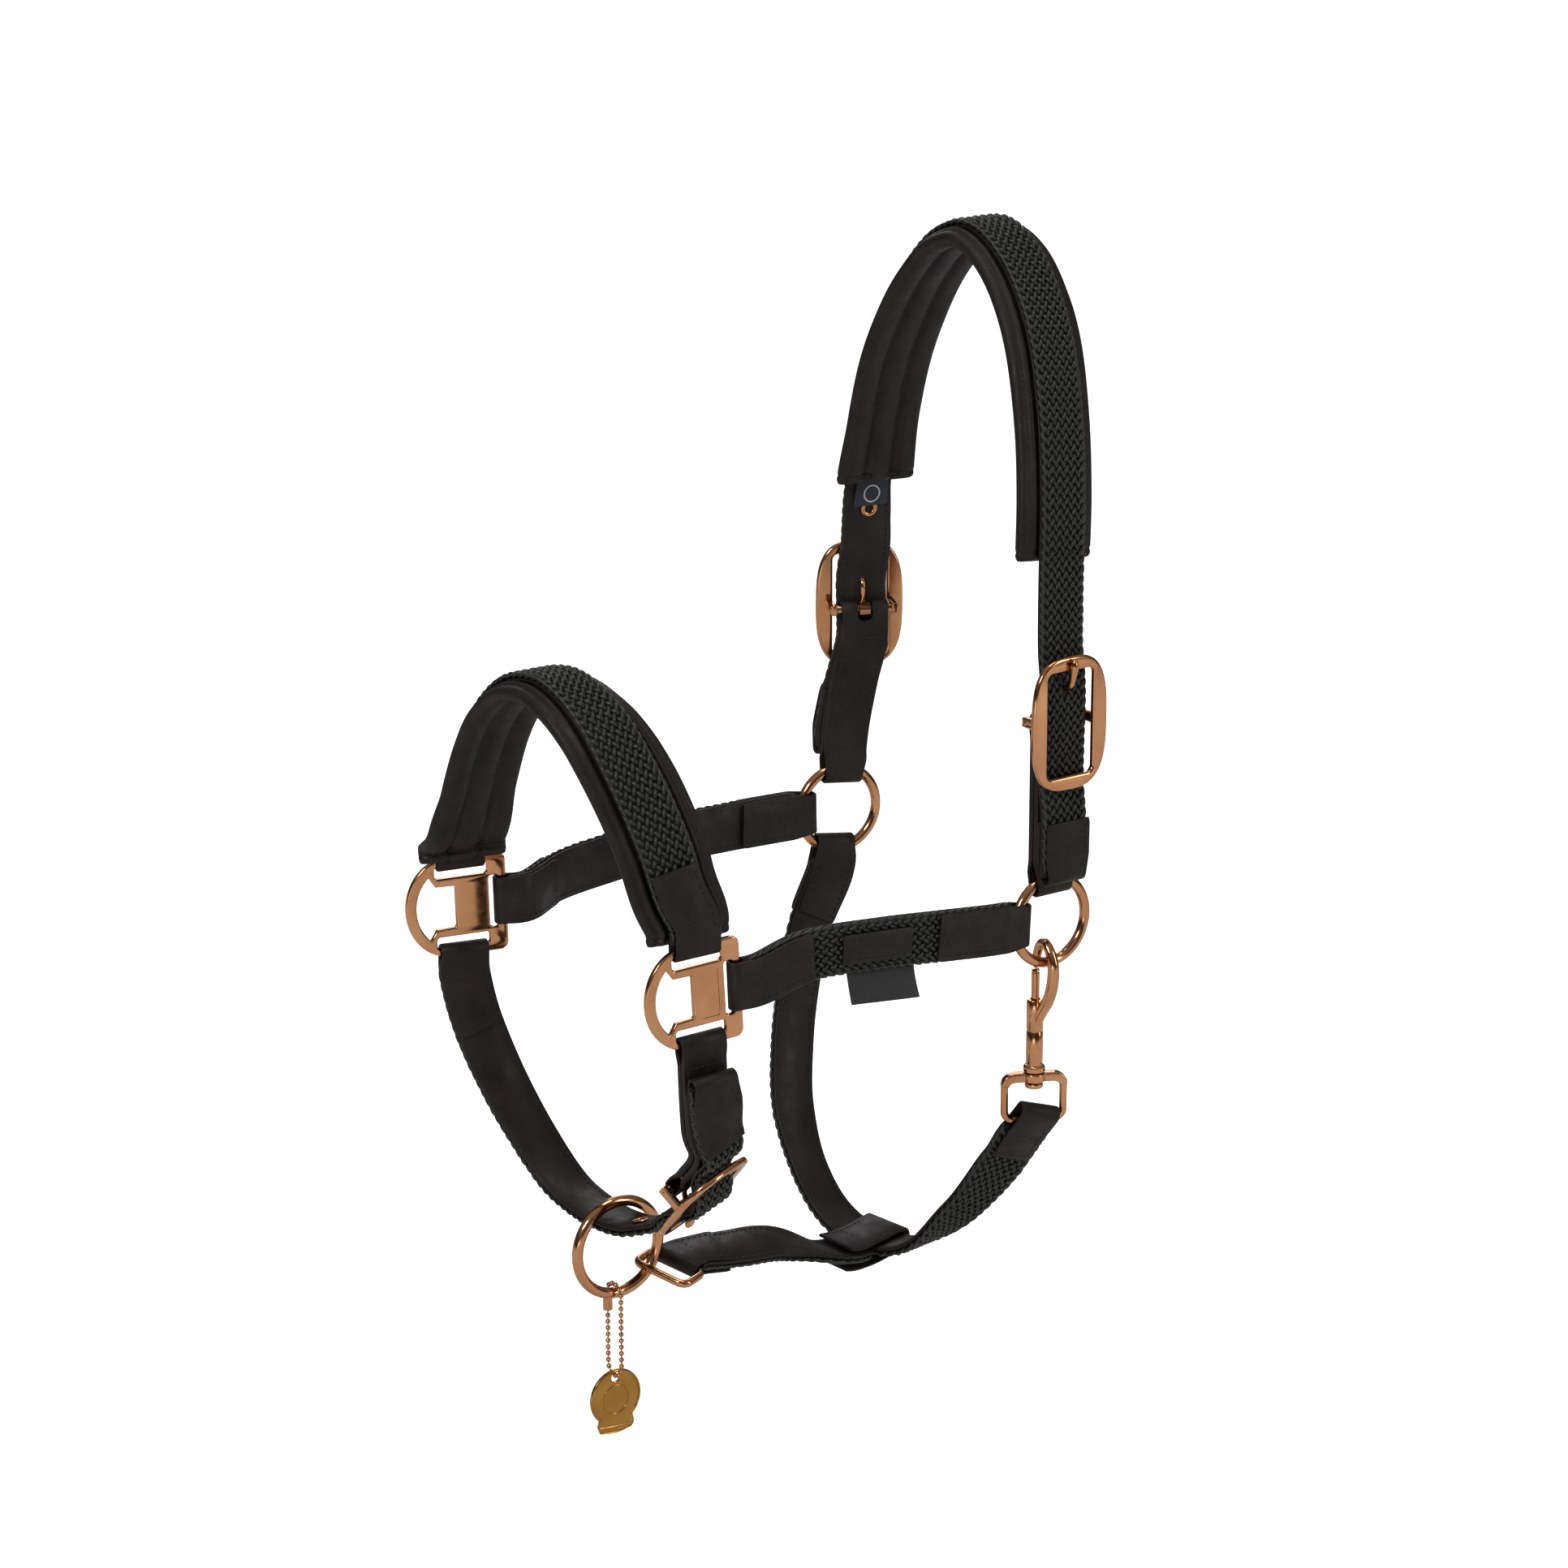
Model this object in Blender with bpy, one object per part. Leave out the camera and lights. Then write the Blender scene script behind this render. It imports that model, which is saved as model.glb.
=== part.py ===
"""Leather headcollar for a horse: padded crown and noseband, cheek, chin, jowl and throat straps.

Frame: the origin is the poll seat, the middle of the crown pad's underside. +Z is up, the nose points
along -Y, and +X is the horse's left, the near side. Lengths in this file are millimetres; every mesh is
written in metres.

A strap is a plaited face over a leather lining, and its route is a smooth centre line with a width
direction w and an outward normal n. Every layer is given by its range of n, so the layers of one strap
stay parallel and clear of each other.
"""
import math

import bmesh
import bpy
from mathutils import Matrix, Vector

MM = 0.001

# Layers of a strap, measured along the outward normal from its middle.
GAP = 0.3
STRAP_WIDTH = 24.6
LINING = (-2.55, -0.75)
PLAIT = (-0.45, 2.55)
TAB_WIDTH = 23.2
TAB_INNER = 2.85
TAB_OUTER = 4.25
STATION = 10.0
EYELET_LIFT = 1.0
LABEL_LIFT = 2.2

# Padding under the crown and the noseband.
PAD_WIDTH = 43.0
PAD_DEPTH = 8.0
PAD_TOP = -3.1
PAD_TOP_UNDER_TAB = -5.0

# Throat rings, which join chape, cheek strap and throat strap.
RING_RADIUS = 21.0
RING_WIRE = 2.5
NEAR_RING = Vector((86.0, -19.5, -309.0))
FAR_RING = Vector((-86.0, -17.2, -297.0))
RING_FOLD = 17.3
RING_STRAP_START = 7.0
RING_TAB_NECK = 20.4

# Lead ring under the chin.
LEAD_RADIUS = 23.0
LEAD_WIRE = 2.7
LEAD_RING = Vector((10.0, -217.5, -453.6))

# Side fittings, each a flat plate with a bow in front and three strap bars. u runs back, v runs up.
PLATE_DEPTH = 3.0
BAR_HALF = 2.0
BAR_V = 22.5
BAR_U = 15.2
STRAP_U = -4.9
BAR_STRAP_START = 3.4

# Buckles. a points to the tongue's tip, w runs along the bar, n faces out.
BUCKLE_HALF_LENGTH = 32.5
BUCKLE_HALF_WIDTH = 22.0
CHIN_BUCKLE_HALF_LENGTH = 26.0
BUCKLE_RAIL = 7.0
WINDOW_HALF_WIDTH = 13.6
BUCKLE_FACE = (10.0, 13.2)
BUCKLE_BAR = 2.2
STRAP_OVER_BAR = 7.1
TONGUE_HOLE = 15.5
CHIN_TONGUE_HOLE = 12.6
TAIL_OVER_CHAPE = 8.9

# Bolt snap between the throat strap and the near ring.
SNAP_FOOT = Vector((78.5, -21.8, -411.5))
SNAP_AXIS = Vector((0, 0, 1))
SNAP_BAR = Vector((0.45, 0.893, 0))

LEATHER = (0.032, 0.026, 0.024)
PLAITED = (0.022, 0.024, 0.021)
ROSE_GOLD = (0.60, 0.29, 0.15)
YELLOW_GOLD = (0.58, 0.32, 0.08)
NAVY = (0.016, 0.021, 0.042)
SPRING_STEEL = (0.45, 0.45, 0.46)


# ---------------------------------------------------------------- scene and materials

def clear_scene():
    for old in list(bpy.data.objects):
        bpy.data.objects.remove(old, do_unlink=True)


def make_material(name, colour, roughness, metallic):
    material = bpy.data.materials.new(name)
    material.use_nodes = True
    shader = material.node_tree.nodes["Principled BSDF"]
    shader.inputs["Base Color"].default_value = (*colour, 1.0)
    shader.inputs["Roughness"].default_value = roughness
    shader.inputs["Metallic"].default_value = metallic
    material.diffuse_color = (*colour, 1.0)
    return material


FINISHES = {
    "leather": (LEATHER, 0.55, 0.0),
    "plait": (PLAITED, 0.6, 0.0),
    "rose_gold": (ROSE_GOLD, 0.2, 1.0),
    "yellow_gold": (YELLOW_GOLD, 0.25, 1.0),
    "label": (NAVY, 0.7, 0.0),
    "steel": (SPRING_STEEL, 0.3, 1.0),
}


def add_object(name, mesh_builder, finish, origin=Vector((0, 0, 0)), smooth=False):
    """Make a named object from a bmesh in millimetres, with its own origin and its own material."""
    bmesh.ops.recalc_face_normals(mesh_builder, faces=mesh_builder.faces)
    bmesh.ops.translate(mesh_builder, vec=-origin, verts=mesh_builder.verts)
    bmesh.ops.scale(mesh_builder, vec=(MM, MM, MM), verts=mesh_builder.verts)
    mesh = bpy.data.meshes.new(name)
    mesh_builder.to_mesh(mesh)
    mesh_builder.free()
    if smooth:
        mesh.shade_smooth()
        mesh.set_sharp_from_angle(angle=math.radians(40))
    piece = bpy.data.objects.new(name, mesh)
    piece.location = origin * MM
    bpy.context.scene.collection.objects.link(piece)
    mesh.materials.append(make_material(name, *FINISHES[finish]))
    return piece


def cut(piece, cutter_mesh, name):
    """Subtract a closed bmesh, in millimetres, from a piece."""
    add_boolean(piece, cutter_mesh, name, "DIFFERENCE")


def join(piece, extra_mesh, name):
    """Unite a closed bmesh, in millimetres, with a piece."""
    add_boolean(piece, extra_mesh, name, "UNION")


def add_boolean(piece, tool_mesh, name, operation):
    tool = add_object(f"{piece.name}_{name}", tool_mesh, "steel")
    tool.hide_render = True
    tool.display_type = "WIRE"
    step = piece.modifiers.new(name, "BOOLEAN")
    step.operation = operation
    step.solver = "EXACT"
    step.object = tool


# ---------------------------------------------------------------- frames and routes

class Frame:
    """A local frame: a point and three unit directions."""

    def __init__(self, origin, x, y, z):
        self.origin, self.x, self.y, self.z = origin, x, y, z

    def at(self, x, y, z=0.0):
        return self.origin + self.x * x + self.y * y + self.z * z


class Route:
    """A smooth centre line through chosen points, with a width direction and an outward normal."""

    STEPS = 12

    def __init__(self, points, sides, station=STATION):
        self.station = station
        points = [Vector(p) for p in points]
        sides = [Vector(side).normalized() for side in sides]
        ends = [points[0] * 2 - points[1]] + points + [points[-1] * 2 - points[-2]]
        self.points, self.sides = [], []
        for i in range(len(points) - 1):
            for k in range(self.STEPS):
                self.add(ends[i:i + 4], sides[i], sides[i + 1], k / self.STEPS)
        self.points.append(points[-1])
        self.sides.append(sides[-1])
        self.marks = [0.0]
        for a, b in zip(self.points, self.points[1:]):
            self.marks.append(self.marks[-1] + (b - a).length)
        self.length = self.marks[-1]
        self.knots = [self.marks[i * self.STEPS] for i in range(len(points))]

    def add(self, p, side_a, side_b, f):
        """Append one point of a Catmull-Rom segment."""
        spot = 0.5 * (2 * p[1] + (p[2] - p[0]) * f + (2 * p[0] - 5 * p[1] + 4 * p[2] - p[3]) * f * f
                      + (3 * p[1] - p[0] - 3 * p[2] + p[3]) * f ** 3)
        self.points.append(spot)
        self.sides.append(side_a.lerp(side_b, f * f * (3 - 2 * f)))

    def raw(self, s):
        if s <= 0:
            run = (self.points[1] - self.points[0]).normalized()
            return self.points[0] + run * s, self.sides[0]
        if s >= self.length:
            run = (self.points[-1] - self.points[-2]).normalized()
            return self.points[-1] + run * (s - self.length), self.sides[-1]
        low, high = 0, len(self.marks) - 1
        while high - low > 1:
            middle = (low + high) // 2
            if self.marks[middle] <= s:
                low = middle
            else:
                high = middle
        f = (s - self.marks[low]) / (self.marks[high] - self.marks[low])
        return self.points[low].lerp(self.points[high], f), self.sides[low].lerp(self.sides[high], f)

    def frame(self, s):
        """Frame at s: x along the strap, y across it, z outward."""
        spot, side = self.raw(s)
        along = (self.raw(s + 0.8)[0] - self.raw(s - 0.8)[0]).normalized()
        across = (side - along * side.dot(along)).normalized()
        return Frame(spot, along, across, along.cross(across))

    def at(self, s, w, n):
        here = self.frame(s)
        return here.origin + here.y * w + here.z * n

    def stations(self, start, end):
        """Start, end and every whole station between them, shared by all layers of the strap."""
        first, last = math.floor(start / self.station) + 1, math.ceil(end / self.station)
        marks = [k * self.station for k in range(first, last)]
        return [start] + [s for s in marks if start + 1.0 < s < end - 1.0] + [end]


# ---------------------------------------------------------------- closed solids

def loft(rings, closed=False, marks=None):
    """Skin equal-length closed rings into one solid, capped unless it closes on itself.

    marks holds each ring's place along a route. The broad faces are then split along the same
    diagonal in every layer of that route, so layers that twist together stay clear of each other.
    """
    mesh = bmesh.new()
    rows = [[mesh.verts.new(p) for p in ring] for ring in rings]
    count = len(rows[0])
    pairs = list(zip(rows, rows[1:]))
    if closed:
        pairs.append((rows[-1], rows[0]))
    for i, (a, b) in enumerate(pairs):
        for j in range(count):
            quad = (a[j], a[(j + 1) % count], b[(j + 1) % count], b[j])
            if marks is None or j % 2:
                mesh.faces.new(quad)
                continue
            ahead = marks[(i + 1) % len(marks)] >= marks[i]
            first = 0 if (j == 0) == ahead else 1
            mesh.faces.new([quad[k % 4] for k in (first, first + 1, first + 2)])
            mesh.faces.new([quad[k % 4] for k in (first, first + 2, first + 3)])
    if not closed:
        mesh.faces.new(rows[0])
        mesh.faces.new(rows[-1])
    return mesh


def section(route, s, n0, n1, half):
    return [route.at(s, -half, n0), route.at(s, half, n0), route.at(s, half, n1), route.at(s, -half, n1)]


def strap(name, route, start, end, layer, finish, width=STRAP_WIDTH):
    stations = route.stations(start, end)
    rings = [section(route, s, layer[0], layer[1], width / 2) for s in stations]
    return add_object(name, loft(rings, marks=stations), finish)


def lined_strap(prefix, route, start, end):
    """The lining and the plaited face of one strap."""
    return (strap(f"{prefix}_strap", route, start, end, LINING, "leather"),
            strap(f"{prefix}_plait", route, start, end, PLAIT, "plait"))


def pad(name, route, start, end, tab_zones):
    """A padded strip under a strap, with rounded edges; it dips where a tab's inner leg lies over it."""
    half = PAD_WIDTH / 2
    profile = [(-1.0, 0.45), (-0.9, 0.0), (0.0, 0.0), (0.9, 0.0), (1.0, 0.45), (0.9, 0.92), (0.35, 1.0),
               (-0.35, 1.0), (-0.9, 0.92)]
    rings = []
    for s in route.stations(start, end):
        under = any(low - 6 <= s <= high + 6 for low, high in tab_zones)
        top = PAD_TOP_UNDER_TAB if under else PAD_TOP
        depth = PAD_DEPTH + PAD_TOP - top
        rings.append([route.at(s, half * w, top - depth * d) for w, d in profile])
    return add_object(name, loft(rings), "leather", smooth=True)


def hairpin(route, centre, side, reach, inner=TAB_INNER, outer=TAB_OUTER, neck=None, width=TAB_WIDTH):
    """A leather tab folded round a bar or wire: two legs and a half-round fold.

    side is +1 where the strap runs on from the fold along +s, and -1 where it runs along -s.
    """
    neck = neck or width
    last = round((centre + side * reach) / STATION) * STATION
    legs = [abs(s - centre) for s in route.stations(*sorted((centre, last)))]
    legs = sorted(legs, reverse=True)
    path = [(side * d, 1.0) for d in legs]
    for k in range(1, 6):
        turn = math.pi / 2 - k * math.pi / 6
        path.append((-side * math.cos(turn), math.sin(turn), "fold"))
    path += [(side * d, -1.0) for d in reversed(legs)]
    rings, marks = [], []
    for entry in path:
        if len(entry) == 3:
            spots = [(centre + entry[0] * r, entry[1] * r) for r in (inner, outer)]
            half = neck / 2
        else:
            spots = [(centre + entry[0], entry[1] * r) for r in (inner, outer)]
            half = (neck + (width - neck) * min(1.0, abs(entry[0]) / 9.0)) / 2
        (s0, n0), (s1, n1) = spots
        rings.append([route.at(s0, -half, n0), route.at(s0, half, n0),
                      route.at(s1, half, n1), route.at(s1, -half, n1)])
        marks.append(s0)
    return loft(rings, marks=marks)


def tab(name, route, centre, side, reach, **sizes):
    return add_object(name, hairpin(route, centre, side, reach, **sizes), "leather")


def tip(name, route, end, side, length, width=TAB_WIDTH + 2.2):
    """A leather cap folded over a strap's free end, which lies at s = end."""
    return add_object(name, hairpin(route, end, side, length, neck=width - 3.0, width=width), "leather")


def chape(name, route, neck, hold):
    """A closed leather band round a buckle's bar at its start and round a ring or bar at its end.

    The two legs lie together in the middle; hold is how far they stay open past the ring or bar.
    """
    start, end = 0.0, route.length
    middle = (start + end) / 2
    runs = [(end, 0), (end - hold, 0), (end - hold - 7.0, 1), ((end + middle) / 2 - 4.0, 1), (middle, 1),
            ((start + middle) / 2 + 4.0, 1), (start + 11.0, 1), (start + 3.0, 0), (start, 0)]
    inner, outer = [], []
    for s, tight in runs:
        inner.append((s, 0.3 if tight else TAB_INNER))
        outer.append((s, TAB_OUTER - 0.85 if tight else TAB_OUTER))
    rings, marks = [], []

    def add_ring(s_in, n_in, s_out, n_out, half):
        rings.append([route.at(s_in, -half, n_in), route.at(s_in, half, n_in),
                      route.at(s_out, half, n_out), route.at(s_out, -half, n_out)])
        marks.append(s_in)

    def half_at(s):
        wide = TAB_WIDTH / 2
        return wide - (wide - neck / 2) * max(0.0, 1.0 - abs(end - s) / 9.0)

    for (s, n_in), (_, n_out) in zip(inner, outer):
        add_ring(s, n_in, s, n_out, half_at(s))
    for centre, side in ((start, 1), (end, -1)):
        for k in range(1, 6):
            turn = math.pi / 2 - k * math.pi / 6
            swing = -side * math.cos(turn)
            lift = math.sin(turn)
            if side < 0:
                lift = -lift
            add_ring(centre + swing * TAB_INNER, lift * TAB_INNER,
                     centre + swing * TAB_OUTER, lift * TAB_OUTER, half_at(centre))
        if side > 0:
            for (s, n_in), (_, n_out) in zip(reversed(inner), reversed(outer)):
                add_ring(s, -n_in, s, -n_out, half_at(s))
    piece = add_object(name, loft(rings, closed=True, marks=marks), "leather")
    slot = box(route.frame(start), (-9.0, 5.5), (-3.7, 3.7), (-6.0, 6.0))
    cut(piece, slot, "tongue_slot")
    return piece


def box(frame, x_range, y_range, z_range):
    low = [frame.at(x_range[0], y, z) for y, z in corners(y_range, z_range)]
    high = [frame.at(x_range[1], y, z) for y, z in corners(y_range, z_range)]
    return loft([low, high])


def corners(a, b):
    return [(a[0], b[0]), (a[1], b[0]), (a[1], b[1]), (a[0], b[1])]


def prism(frame, outline, z0, z1):
    """Extrude a flat outline given in the frame's x and y."""
    return loft([[frame.at(x, y, z0) for x, y in outline], [frame.at(x, y, z1) for x, y in outline]])


def arc(cx, cy, rx, ry, start, end, count):
    """Points along an elliptical arc, in degrees."""
    turns = [math.radians(start + (end - start) * k / (count - 1)) for k in range(count)]
    return [(cx + rx * math.cos(t), cy + ry * math.sin(t)) for t in turns]


def rounded_box(x0, x1, y0, y1, r, count=4):
    return (arc(x1 - r, y1 - r, r, r, 0, 90, count) + arc(x0 + r, y1 - r, r, r, 90, 180, count)
            + arc(x0 + r, y0 + r, r, r, 180, 270, count) + arc(x1 - r, y0 + r, r, r, 270, 360, count))


def oval(half_x, half_y, power, count):
    """A superellipse, between an ellipse and a rectangle."""
    spots = []
    for k in range(count):
        turn = 2 * math.pi * (k + 0.5) / count
        c, s = math.cos(turn), math.sin(turn)
        spots.append((math.copysign(half_x * abs(c) ** (2 / power), c),
                      math.copysign(half_y * abs(s) ** (2 / power), s)))
    return spots


def tube(path, radius, sides=8, closed=False, turn=0.5):
    """Sweep a round wire along a path; radius may be one number or one for each point."""
    radii = radius if isinstance(radius, (list, tuple)) else [radius] * len(path)
    rings = []
    across = None
    for i, spot in enumerate(path):
        before = path[i - 1] if (closed or i > 0) else path[i]
        after = path[(i + 1) % len(path)] if (closed or i < len(path) - 1) else path[i]
        along = (after - before).normalized()
        if across is None:
            across = along.orthogonal().normalized()
        across = (across - along * across.dot(along)).normalized()
        up = along.cross(across)
        angles = [2 * math.pi * (k + turn) / sides for k in range(sides)]
        rings.append([spot + (across * math.cos(a) + up * math.sin(a)) * radii[i] for a in angles])
    return loft(rings, closed=closed)


def torus(centre, axis, radius, wire, segments=28, sides=8):
    frame = plane_frame(centre, axis)
    rings = []
    for k in range(segments):
        swing = 2 * math.pi * k / segments
        out = frame.x * math.cos(swing) + frame.y * math.sin(swing)
        rings.append([centre + out * (radius + wire * math.cos(a)) + frame.z * (wire * math.sin(a))
                      for a in (2 * math.pi * j / sides for j in range(sides))])
    return loft(rings, closed=True)


def plane_frame(origin, axis):
    axis = axis.normalized()
    x = axis.orthogonal().normalized()
    return Frame(origin, x, axis.cross(x), axis)


def cylinder(start, end, radius, sides=14):
    frame = plane_frame(start, end - start)
    outline = arc(0, 0, radius, radius, 0, 360 - 360 / sides, sides)
    return prism(frame, outline, 0.0, (end - start).length)


# ---------------------------------------------------------------- fittings

def fitting_frame(origin, back, outward_sign):
    back = Vector(back).normalized()
    up = Vector((0, 0, 1))
    up = (up - back * up.dot(back)).normalized()
    return Frame(Vector(origin), back, up, back.cross(up) * outward_sign)


NEAR_FIT = fitting_frame((78.0, -213.0, -308.0), (0.10, 0.993, 0.06), 1)
FAR_FIT = fitting_frame((-78.0, -240.0, -302.0), (0.28, 0.96, 0.03), -1)


def side_fitting(name, frame):
    outline = arc(-12.0, 0.0, 20.5, 24.5, 90, 270, 13)
    outline += arc(13.2, -20.5, 4.0, 4.0, 270, 360, 4) + arc(13.2, 20.5, 4.0, 4.0, 0, 90, 4)
    piece = add_object(name, prism(frame, outline, -PLATE_DEPTH / 2, PLATE_DEPTH / 2), "rose_gold")
    bow = arc(-12.0, 0.0, 15.2, 19.0, 125, 235, 9)
    bow += [(-17.5, -10.6), (-8.0, -10.3), (-8.0, 10.3), (-17.5, 10.6)]
    openings = {
        "bow_opening": bow,
        "top_slot": rounded_box(STRAP_U - 12.9, STRAP_U + 12.9, 14.6, BAR_V - BAR_HALF, 1.0, 3),
        "bottom_slot": rounded_box(STRAP_U - 12.9, STRAP_U + 12.9, -BAR_V + BAR_HALF, -14.6, 1.0, 3),
        "rear_slot": rounded_box(8.6, BAR_U - BAR_HALF, -12.6, 13.2, 1.0, 3),
    }
    for label, shape in openings.items():
        cut(piece, prism(frame, shape, -PLATE_DEPTH, PLATE_DEPTH), label)
    return piece


def buckle(prefix, frame, hole=TONGUE_HOLE, half_length=BUCKLE_HALF_LENGTH):
    """A centre-bar buckle: a flat frame outside the strap, its bar set back on two lugs, and a tongue."""
    low, high = BUCKLE_FACE
    window_half = half_length - BUCKLE_RAIL
    outline = oval(half_length, BUCKLE_HALF_WIDTH, 3.0, 28)
    window = rounded_box(-window_half, window_half, -WINDOW_HALF_WIDTH, WINDOW_HALF_WIDTH, 2.5, 3)
    piece = add_object(f"{prefix}_buckle_frame", prism(frame, outline, low, high), "rose_gold",
                       origin=frame.origin)
    cut(piece, prism(frame, window, low - 1, high + 1), "window")
    for side in (-1, 1):
        lug = sorted((side * WINDOW_HALF_WIDTH, side * (WINDOW_HALF_WIDTH + 3.4)))
        label = "lug_front" if side > 0 else "lug_rear"
        join(piece, box(frame, (-2.6, 2.6), lug, (-2.6, low + 0.8)), label)
    reach = WINDOW_HALF_WIDTH + 1.5
    join(piece, cylinder(frame.at(0, -reach), frame.at(0, reach), BUCKLE_BAR), "bar")

    collar = torus_sleeve(frame, 2.6, 4.1, 3.0)
    tongue = add_object(f"{prefix}_buckle_tongue", collar, "rose_gold", origin=frame.origin)
    rail = half_length - BUCKLE_RAIL / 2
    path = [(2.4, 2.9), (hole - 4.6, 2.95), (hole - 1.4, 5.2), (hole + 1.2, 9.4), (hole + 3.4, 12.9),
            (rail - 4.0, 14.9), (rail + 2.0, 15.2)]
    join(tongue, tube([frame.at(a, 0, n) for a, n in path], [1.1] + [1.3] * 5 + [1.0]), "prong")
    return piece


def tongue_hole(piece, frame, name, hole=TONGUE_HOLE):
    """The slot in a strap that a buckle's tongue passes through."""
    shape = Frame(frame.at(hole + 0.4, 0), frame.x, frame.y, frame.z)
    cut(piece, prism(shape, rounded_box(-5.8, 5.4, -2.0, 2.0, 1.8, 3), 0.5, 20.0), name)


def torus_sleeve(frame, inner, outer, half_length, sides=14):
    """A short tube round the frame's y axis."""
    rings = []
    for k in range(sides):
        turn = 2 * math.pi * k / sides
        x, z = math.cos(turn), math.sin(turn)
        square = ((inner, -half_length), (inner, half_length), (outer, half_length), (outer, -half_length))
        rings.append([frame.at(x * r, y, z * r) for r, y in square])
    return loft(rings, closed=True)


def eyelet(name, route, s):
    """A pressed metal ring on the lining, round a hole."""
    here = route.frame(s)
    flat = Frame(here.at(0, 0, LINING[0] - EYELET_LIFT), here.x, here.z, here.y)
    return add_object(name, torus_sleeve(flat, 2.3, 4.2, 0.3), "rose_gold")


# ---------------------------------------------------------------- routes

# Buckles on the cheeks, and the chapes that hang the throat rings from them.
NEAR_AXIS = Vector((1, 0, 0))
FAR_AXIS = Vector((0.985, -0.17, 0)).normalized()
NEAR_BUCKLE = Frame(Vector((86.0, -19.5, -209.0)), Vector((0, 0, 1)), Vector((0, -1, 0)), Vector((1, 0, 0)))
FAR_OUT = Vector((-0.906, 0.423, 0)).normalized()
UP = Vector((0, 0, 1))
FAR_BUCKLE = Frame(Vector((-80.8, -5.6, -194.5)), UP, FAR_OUT.cross(UP), FAR_OUT)


def chape_route(bar, side, ring, lean, ring_side):
    """From a buckle's bar down to a throat ring."""
    low = ring + lean * RING_FOLD
    points = [bar.origin, bar.at(-16, 0), bar.origin.lerp(low, 0.42), ring + lean * (RING_FOLD + 27),
              ring + lean * (RING_FOLD + 14), low]
    return Route(points, [side, side, side, side.lerp(ring_side, 0.6), ring_side, ring_side])


FAR_CHAPE_LEAN = Vector((0.0173, 0.1, 1)).normalized()
NEAR_CHAPE = chape_route(NEAR_BUCKLE, NEAR_BUCKLE.y, NEAR_RING, Vector((0, 0, 1)), Vector((0, -1, 0)))
FAR_CHAPE = chape_route(FAR_BUCKLE, -FAR_BUCKLE.y, FAR_RING, FAR_CHAPE_LEAN, FAR_AXIS.cross(FAR_CHAPE_LEAN))


def tail(route, outward, end):
    """Points and sides of a strap's free end, lying outside the chape; outward is the sign of its n."""
    marks = ((17.0, STRAP_OVER_BAR - 0.4), (33.0, STRAP_OVER_BAR - 0.1), (46.0, TAIL_OVER_CHAPE),
             (end - 14.0, TAIL_OVER_CHAPE), (end, TAIL_OVER_CHAPE))
    return [(route.at(s, 0, outward * n), route.frame(s).y) for s, n in marks]


# Crown strap, from its free end on the near side, over the poll, to its free end on the far side.
CROWN_ARCH = [
    (89.5, -18.5, -175.0), (87.8, -17.5, -155.0), (86.0, -16.0, -135.0), (82.5, -13.0, -104.0),
    (74.5, -8.5, -71.0), (60.5, -3.0, -38.0), (43.0, 1.0, -14.0), (22.0, 3.5, 3.5), (0.0, 4.0, 10.85),
    (-22.0, 3.0, 3.5), (-39.0, 1.5, -12.0), (-54.0, 0.5, -33.0), (-68.0, -1.0, -62.0), (-77.0, -2.0, -95.0),
    (-82.0, -2.5, -128.0), (-84.0, -2.0, -148.0), (-85.6, -1.2, -164.0),
]
ARCH_SIDES = [(0, -1, 0)] * 7 + [(-0.05, -1, 0), (-0.07, -1, 0), (-0.05, -1, 0)] + [(0, -1, 0)] * 4
ARCH_SIDES += [(-0.12, -1, 0), (-0.28, -0.96, 0), (-0.41, -0.91, 0)]


def crown_route():
    near = tail(NEAR_CHAPE, -1, 78.0)[::-1]
    far = tail(FAR_CHAPE, 1, 77.0)
    run = near + [(NEAR_BUCKLE.at(0, 0, STRAP_OVER_BAR), NEAR_BUCKLE.y)]
    run += [(NEAR_BUCKLE.at(15, 0, STRAP_OVER_BAR), NEAR_BUCKLE.y)] + list(zip(CROWN_ARCH, ARCH_SIDES))
    run += [(FAR_BUCKLE.at(a, 0, STRAP_OVER_BAR), -FAR_BUCKLE.y) for a in (15, 0)] + far
    return Route([point for point, _ in run], [side for _, side in run])


CROWN = crown_route()
CROWN_PAD = (CROWN.knots[9] + 1.0, CROWN.knots[21])


# Noseband, from the near fitting over the nose to the far fitting.
NOSE_POINTS = [
    NEAR_FIT.at(STRAP_U, BAR_V), NEAR_FIT.at(STRAP_U, BAR_V + 13), (74.5, -225.5, -259.0),
    (70.0, -230.0, -239.0), (63.0, -234.5, -220.0), (53.0, -239.0, -201.0), (39.0, -242.0, -184.5),
    (21.0, -243.5, -174.0), (0.0, -243.5, -170.5), (-21.0, -245.0, -175.5), (-39.0, -246.5, -189.5),
    (-53.0, -247.5, -210.0), (-64.0, -248.0, -236.0), (-70.0, -248.5, -256.0),
    FAR_FIT.at(STRAP_U, BAR_V + 13), FAR_FIT.at(STRAP_U, BAR_V),
]
NEAR_FRONT = tuple(-NEAR_FIT.x)
FAR_FRONT = tuple(-FAR_FIT.x)
NOSE = Route(NOSE_POINTS, [
    NEAR_FRONT, NEAR_FRONT, (-0.22, -0.97, 0), (-0.3, -0.95, 0), (-0.32, -0.95, 0), (-0.3, -0.95, 0),
    (-0.22, -0.98, 0), (-0.12, -1, 0), (-0.05, -1, 0), (0.0, -1, 0), (0.05, -1, 0), (0.08, -1, 0),
    (0.06, -1, 0), (-0.1, -0.99, 0), FAR_FRONT, FAR_FRONT])
NOSE_TAB = 38.0

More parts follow.
